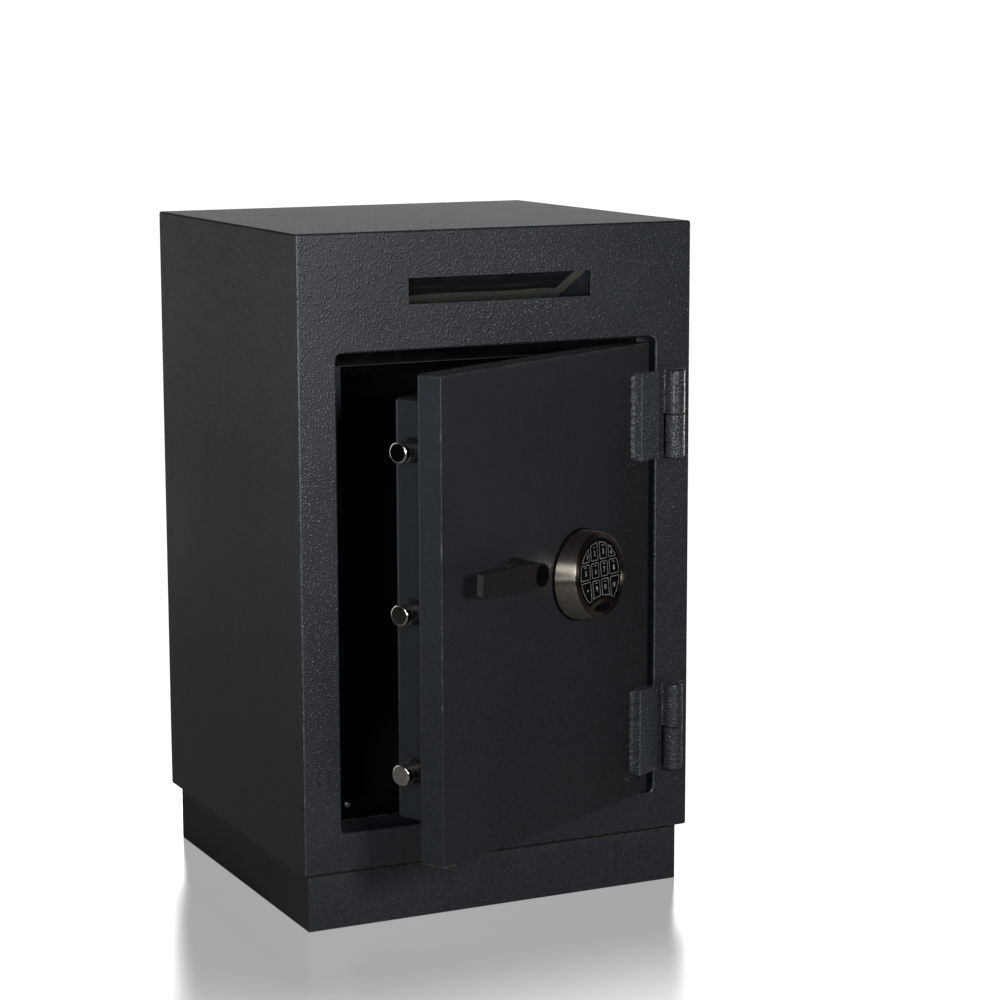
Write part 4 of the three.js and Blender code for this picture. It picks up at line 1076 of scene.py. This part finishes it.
# ------------------------------------------------------------------ floor
def floor_material():
    # glossy white studio floor: an even white plus a soft mirror image that fades with the distance from the object
    m = Nodes("studio_floor")
    t = m.t
    x = m.xyz()
    dx = m.math("MAXIMUM", m.math("SUBTRACT", m.math("ABSOLUTE", x[0]), 0.21), 0.0)
    dy = m.math("MAXIMUM", m.math("SUBTRACT", m.math("ABSOLUTE", x[1]), 0.19), 0.0)
    d = m.math("SQRT", m.math("ADD", m.math("MULTIPLY", dx, dx), m.math("MULTIPLY", dy, dy)))
    glow = m.math("ADD", 0.375, m.span(d, 0.12, 0.50, 0.0, 0.66))
    em = t.nodes.new("ShaderNodeEmission")
    em.inputs["Color"].default_value = (1, 1, 1, 1)
    m.put(em.inputs["Strength"], glow)
    gl = t.nodes.new("ShaderNodeBsdfGlossy")
    m.put(gl.inputs["Color"], m.math("DIVIDE", m.math("SUBTRACT", 1.06, glow), 1.1))
    gl.inputs["Roughness"].default_value = 0.0
    # matt haze: the mirrored image is blurred by tiny random tilts
    tilt = None
    for k in (1.0, 1.7):
        w = t.nodes.new("ShaderNodeTexWhiteNoise")
        m.put(w.inputs["Vector"], m.vec((k * 9731.0, k * 8117.0, 1.0)))
        tilt = w.outputs["Color"] if tilt is None else m.mix(0.5, tilt, w.outputs["Color"])
    sep = t.nodes.new("ShaderNodeSeparateColor")
    m.put(sep.inputs[0], tilt)
    n = t.nodes.new("ShaderNodeCombineXYZ")
    m.put(n.inputs[0], m.math("MULTIPLY", m.math("SUBTRACT", sep.outputs[0], 0.5), FLOOR_BLUR))
    m.put(n.inputs[1], m.math("MULTIPLY", m.math("SUBTRACT", sep.outputs[1], 0.5), FLOOR_BLUR))
    n.inputs[2].default_value = 1.0
    norm = t.nodes.new("ShaderNodeVectorMath")
    norm.operation = "NORMALIZE"
    m.put(norm.inputs[0], n.outputs[0])
    m.put(gl.inputs["Normal"], norm.outputs[0])
    add = t.nodes.new("ShaderNodeAddShader")
    t.links.new(em.outputs[0], add.inputs[0])
    t.links.new(gl.outputs[0], add.inputs[1])
    dif = t.nodes.new("ShaderNodeBsdfDiffuse")
    dif.inputs["Color"].default_value = (0.35, 0.35, 0.35, 1)
    lp = t.nodes.new("ShaderNodeLightPath")
    mx = t.nodes.new("ShaderNodeMixShader")
    t.links.new(lp.outputs["Is Camera Ray"], mx.inputs[0])
    t.links.new(dif.outputs[0], mx.inputs[1])
    t.links.new(add.outputs[0], mx.inputs[2])
    t.links.new(mx.outputs[0], m.out.inputs["Surface"])
    t.nodes.remove(m.bsdf)
    return m.mat
FLOOR_BLUR = 0.16
floor = mesh_object("floor", [(-9000, -9000, 0), (9000, -9000, 0), (9000, 9000, 0), (-9000, 9000, 0)], [(0, 1, 2, 3)])
floor.data.materials.append(floor_material())

# ------------------------------------------------------------------ camera
cam_data = bpy.data.cameras.new("camera")
cam = bpy.data.objects.new("camera", cam_data)
SCENE.collection.objects.link(cam)
cam_data.sensor_width = 36.0
cam_data.lens = 100.77
cam_data.clip_end = 100
yaw, pitch, roll = (math.radians(a) for a in (-25.8071, 9.5114, -0.1553))
fwd = Vector((-math.sin(yaw) * math.cos(pitch), math.cos(yaw) * math.cos(pitch), -math.sin(pitch)))
right = Vector((math.cos(yaw), math.sin(yaw), 0.0))
up = right.cross(fwd)
r2 = right * math.cos(roll) + up * math.sin(roll)
u2 = -right * math.sin(roll) + up * math.cos(roll)
m4 = Matrix((r2, u2, -fwd)).transposed().to_4x4()
m4.translation = Vector((-1.2124, -2.7057, 0.8929))
cam.matrix_world = m4
SCENE.camera = cam

# ------------------------------------------------------------------ light
def area(name, loc, aim, size, power, color=(1, 1, 1), shape="RECTANGLE", spread=180):
    li = bpy.data.lights.new(name, "AREA")
    li.shape, li.size, li.size_y, li.energy, li.color = shape, size[0], size[1], power, color
    li.spread = math.radians(spread)
    ob = bpy.data.objects.new(name, li)
    SCENE.collection.objects.link(ob)
    z = (Vector(loc) - Vector(aim)).normalized()
    x = Vector((0, 0, 1)).cross(z).normalized()
    y = z.cross(x)
    mm = Matrix((x, y, z)).transposed().to_4x4()
    mm.translation = Vector(loc)
    ob.matrix_world = mm
    ob.visible_camera = False
    return ob

def polar(az, el, r):
    """place at r metres from the object; azimuth 0 is in front, negative is towards its left side"""
    a, e = math.radians(az), math.radians(el)
    return (r * math.sin(a) * math.cos(e), -r * math.cos(a) * math.cos(e), 0.45 + r * math.sin(e))

LIGHTS = {}
for nm, az, el, r, sx, sy, power in (
        ("key", -3, 9.5, 2.0, 0.3, 0.3, 14.0),
        ("strip_left", -35, 9, 1.3, 0.3, 0.75, 3.4),
        ("front_right", 15, 15, 2.8, 1.1, 1.1, 2.2),
        ("left", -105, 12, 2.8, 1.1, 1.1, 2.2),
        ("left_near", -120, 5, 1.6, 0.4, 1.2, 3.3),
        ("left_back_low", -140, 3, 1.3, 0.4, 0.8, 0.15),
        ("left_back", -150, 12, 2.8, 1.1, 1.1, 0.3),
        ("glint", -60, 4, 1.5, 0.20, 0.34, 1.25),
        ("right", 90, 12, 2.8, 1.1, 1.1, 2.3),
        ("right_back", 118, -1, 2.8, 1.3, 0.7, 8.0),
        ("wall", 176, -2, 2.8, 1.2, 0.55, 6.0),
        ("back", 154, 8, 2.8, 2.4, 1.0, 3.2)):
    LIGHTS[nm] = area(nm, polar(az, el, r), (0, 0, 0.45), (sx, sy), power)
world = bpy.data.worlds.new("studio")
SCENE.world = world
world.use_nodes = True
t = world.node_tree
bg = t.nodes["Background"]
bg.inputs[0].default_value = (1, 1, 1, 1)
bg.inputs[1].default_value = 0.036
white = t.nodes.new("ShaderNodeBackground")
white.inputs[0].default_value = (1, 1, 1, 1)
white.inputs[1].default_value = 1.1
path = t.nodes.new("ShaderNodeLightPath")
mixer = t.nodes.new("ShaderNodeMixShader")
seen = t.nodes.new("ShaderNodeMath")
seen.operation = "MAXIMUM"
t.links.new(path.outputs["Is Camera Ray"], seen.inputs[0])
t.links.new(path.outputs["Is Singular Ray"], seen.inputs[1])
t.links.new(seen.outputs[0], mixer.inputs[0])
t.links.new(bg.outputs[0], mixer.inputs[1])
t.links.new(white.outputs[0], mixer.inputs[2])
t.links.new(mixer.outputs[0], t.nodes["World Output"].inputs[0])

SCENE.view_settings.view_transform = "Standard"
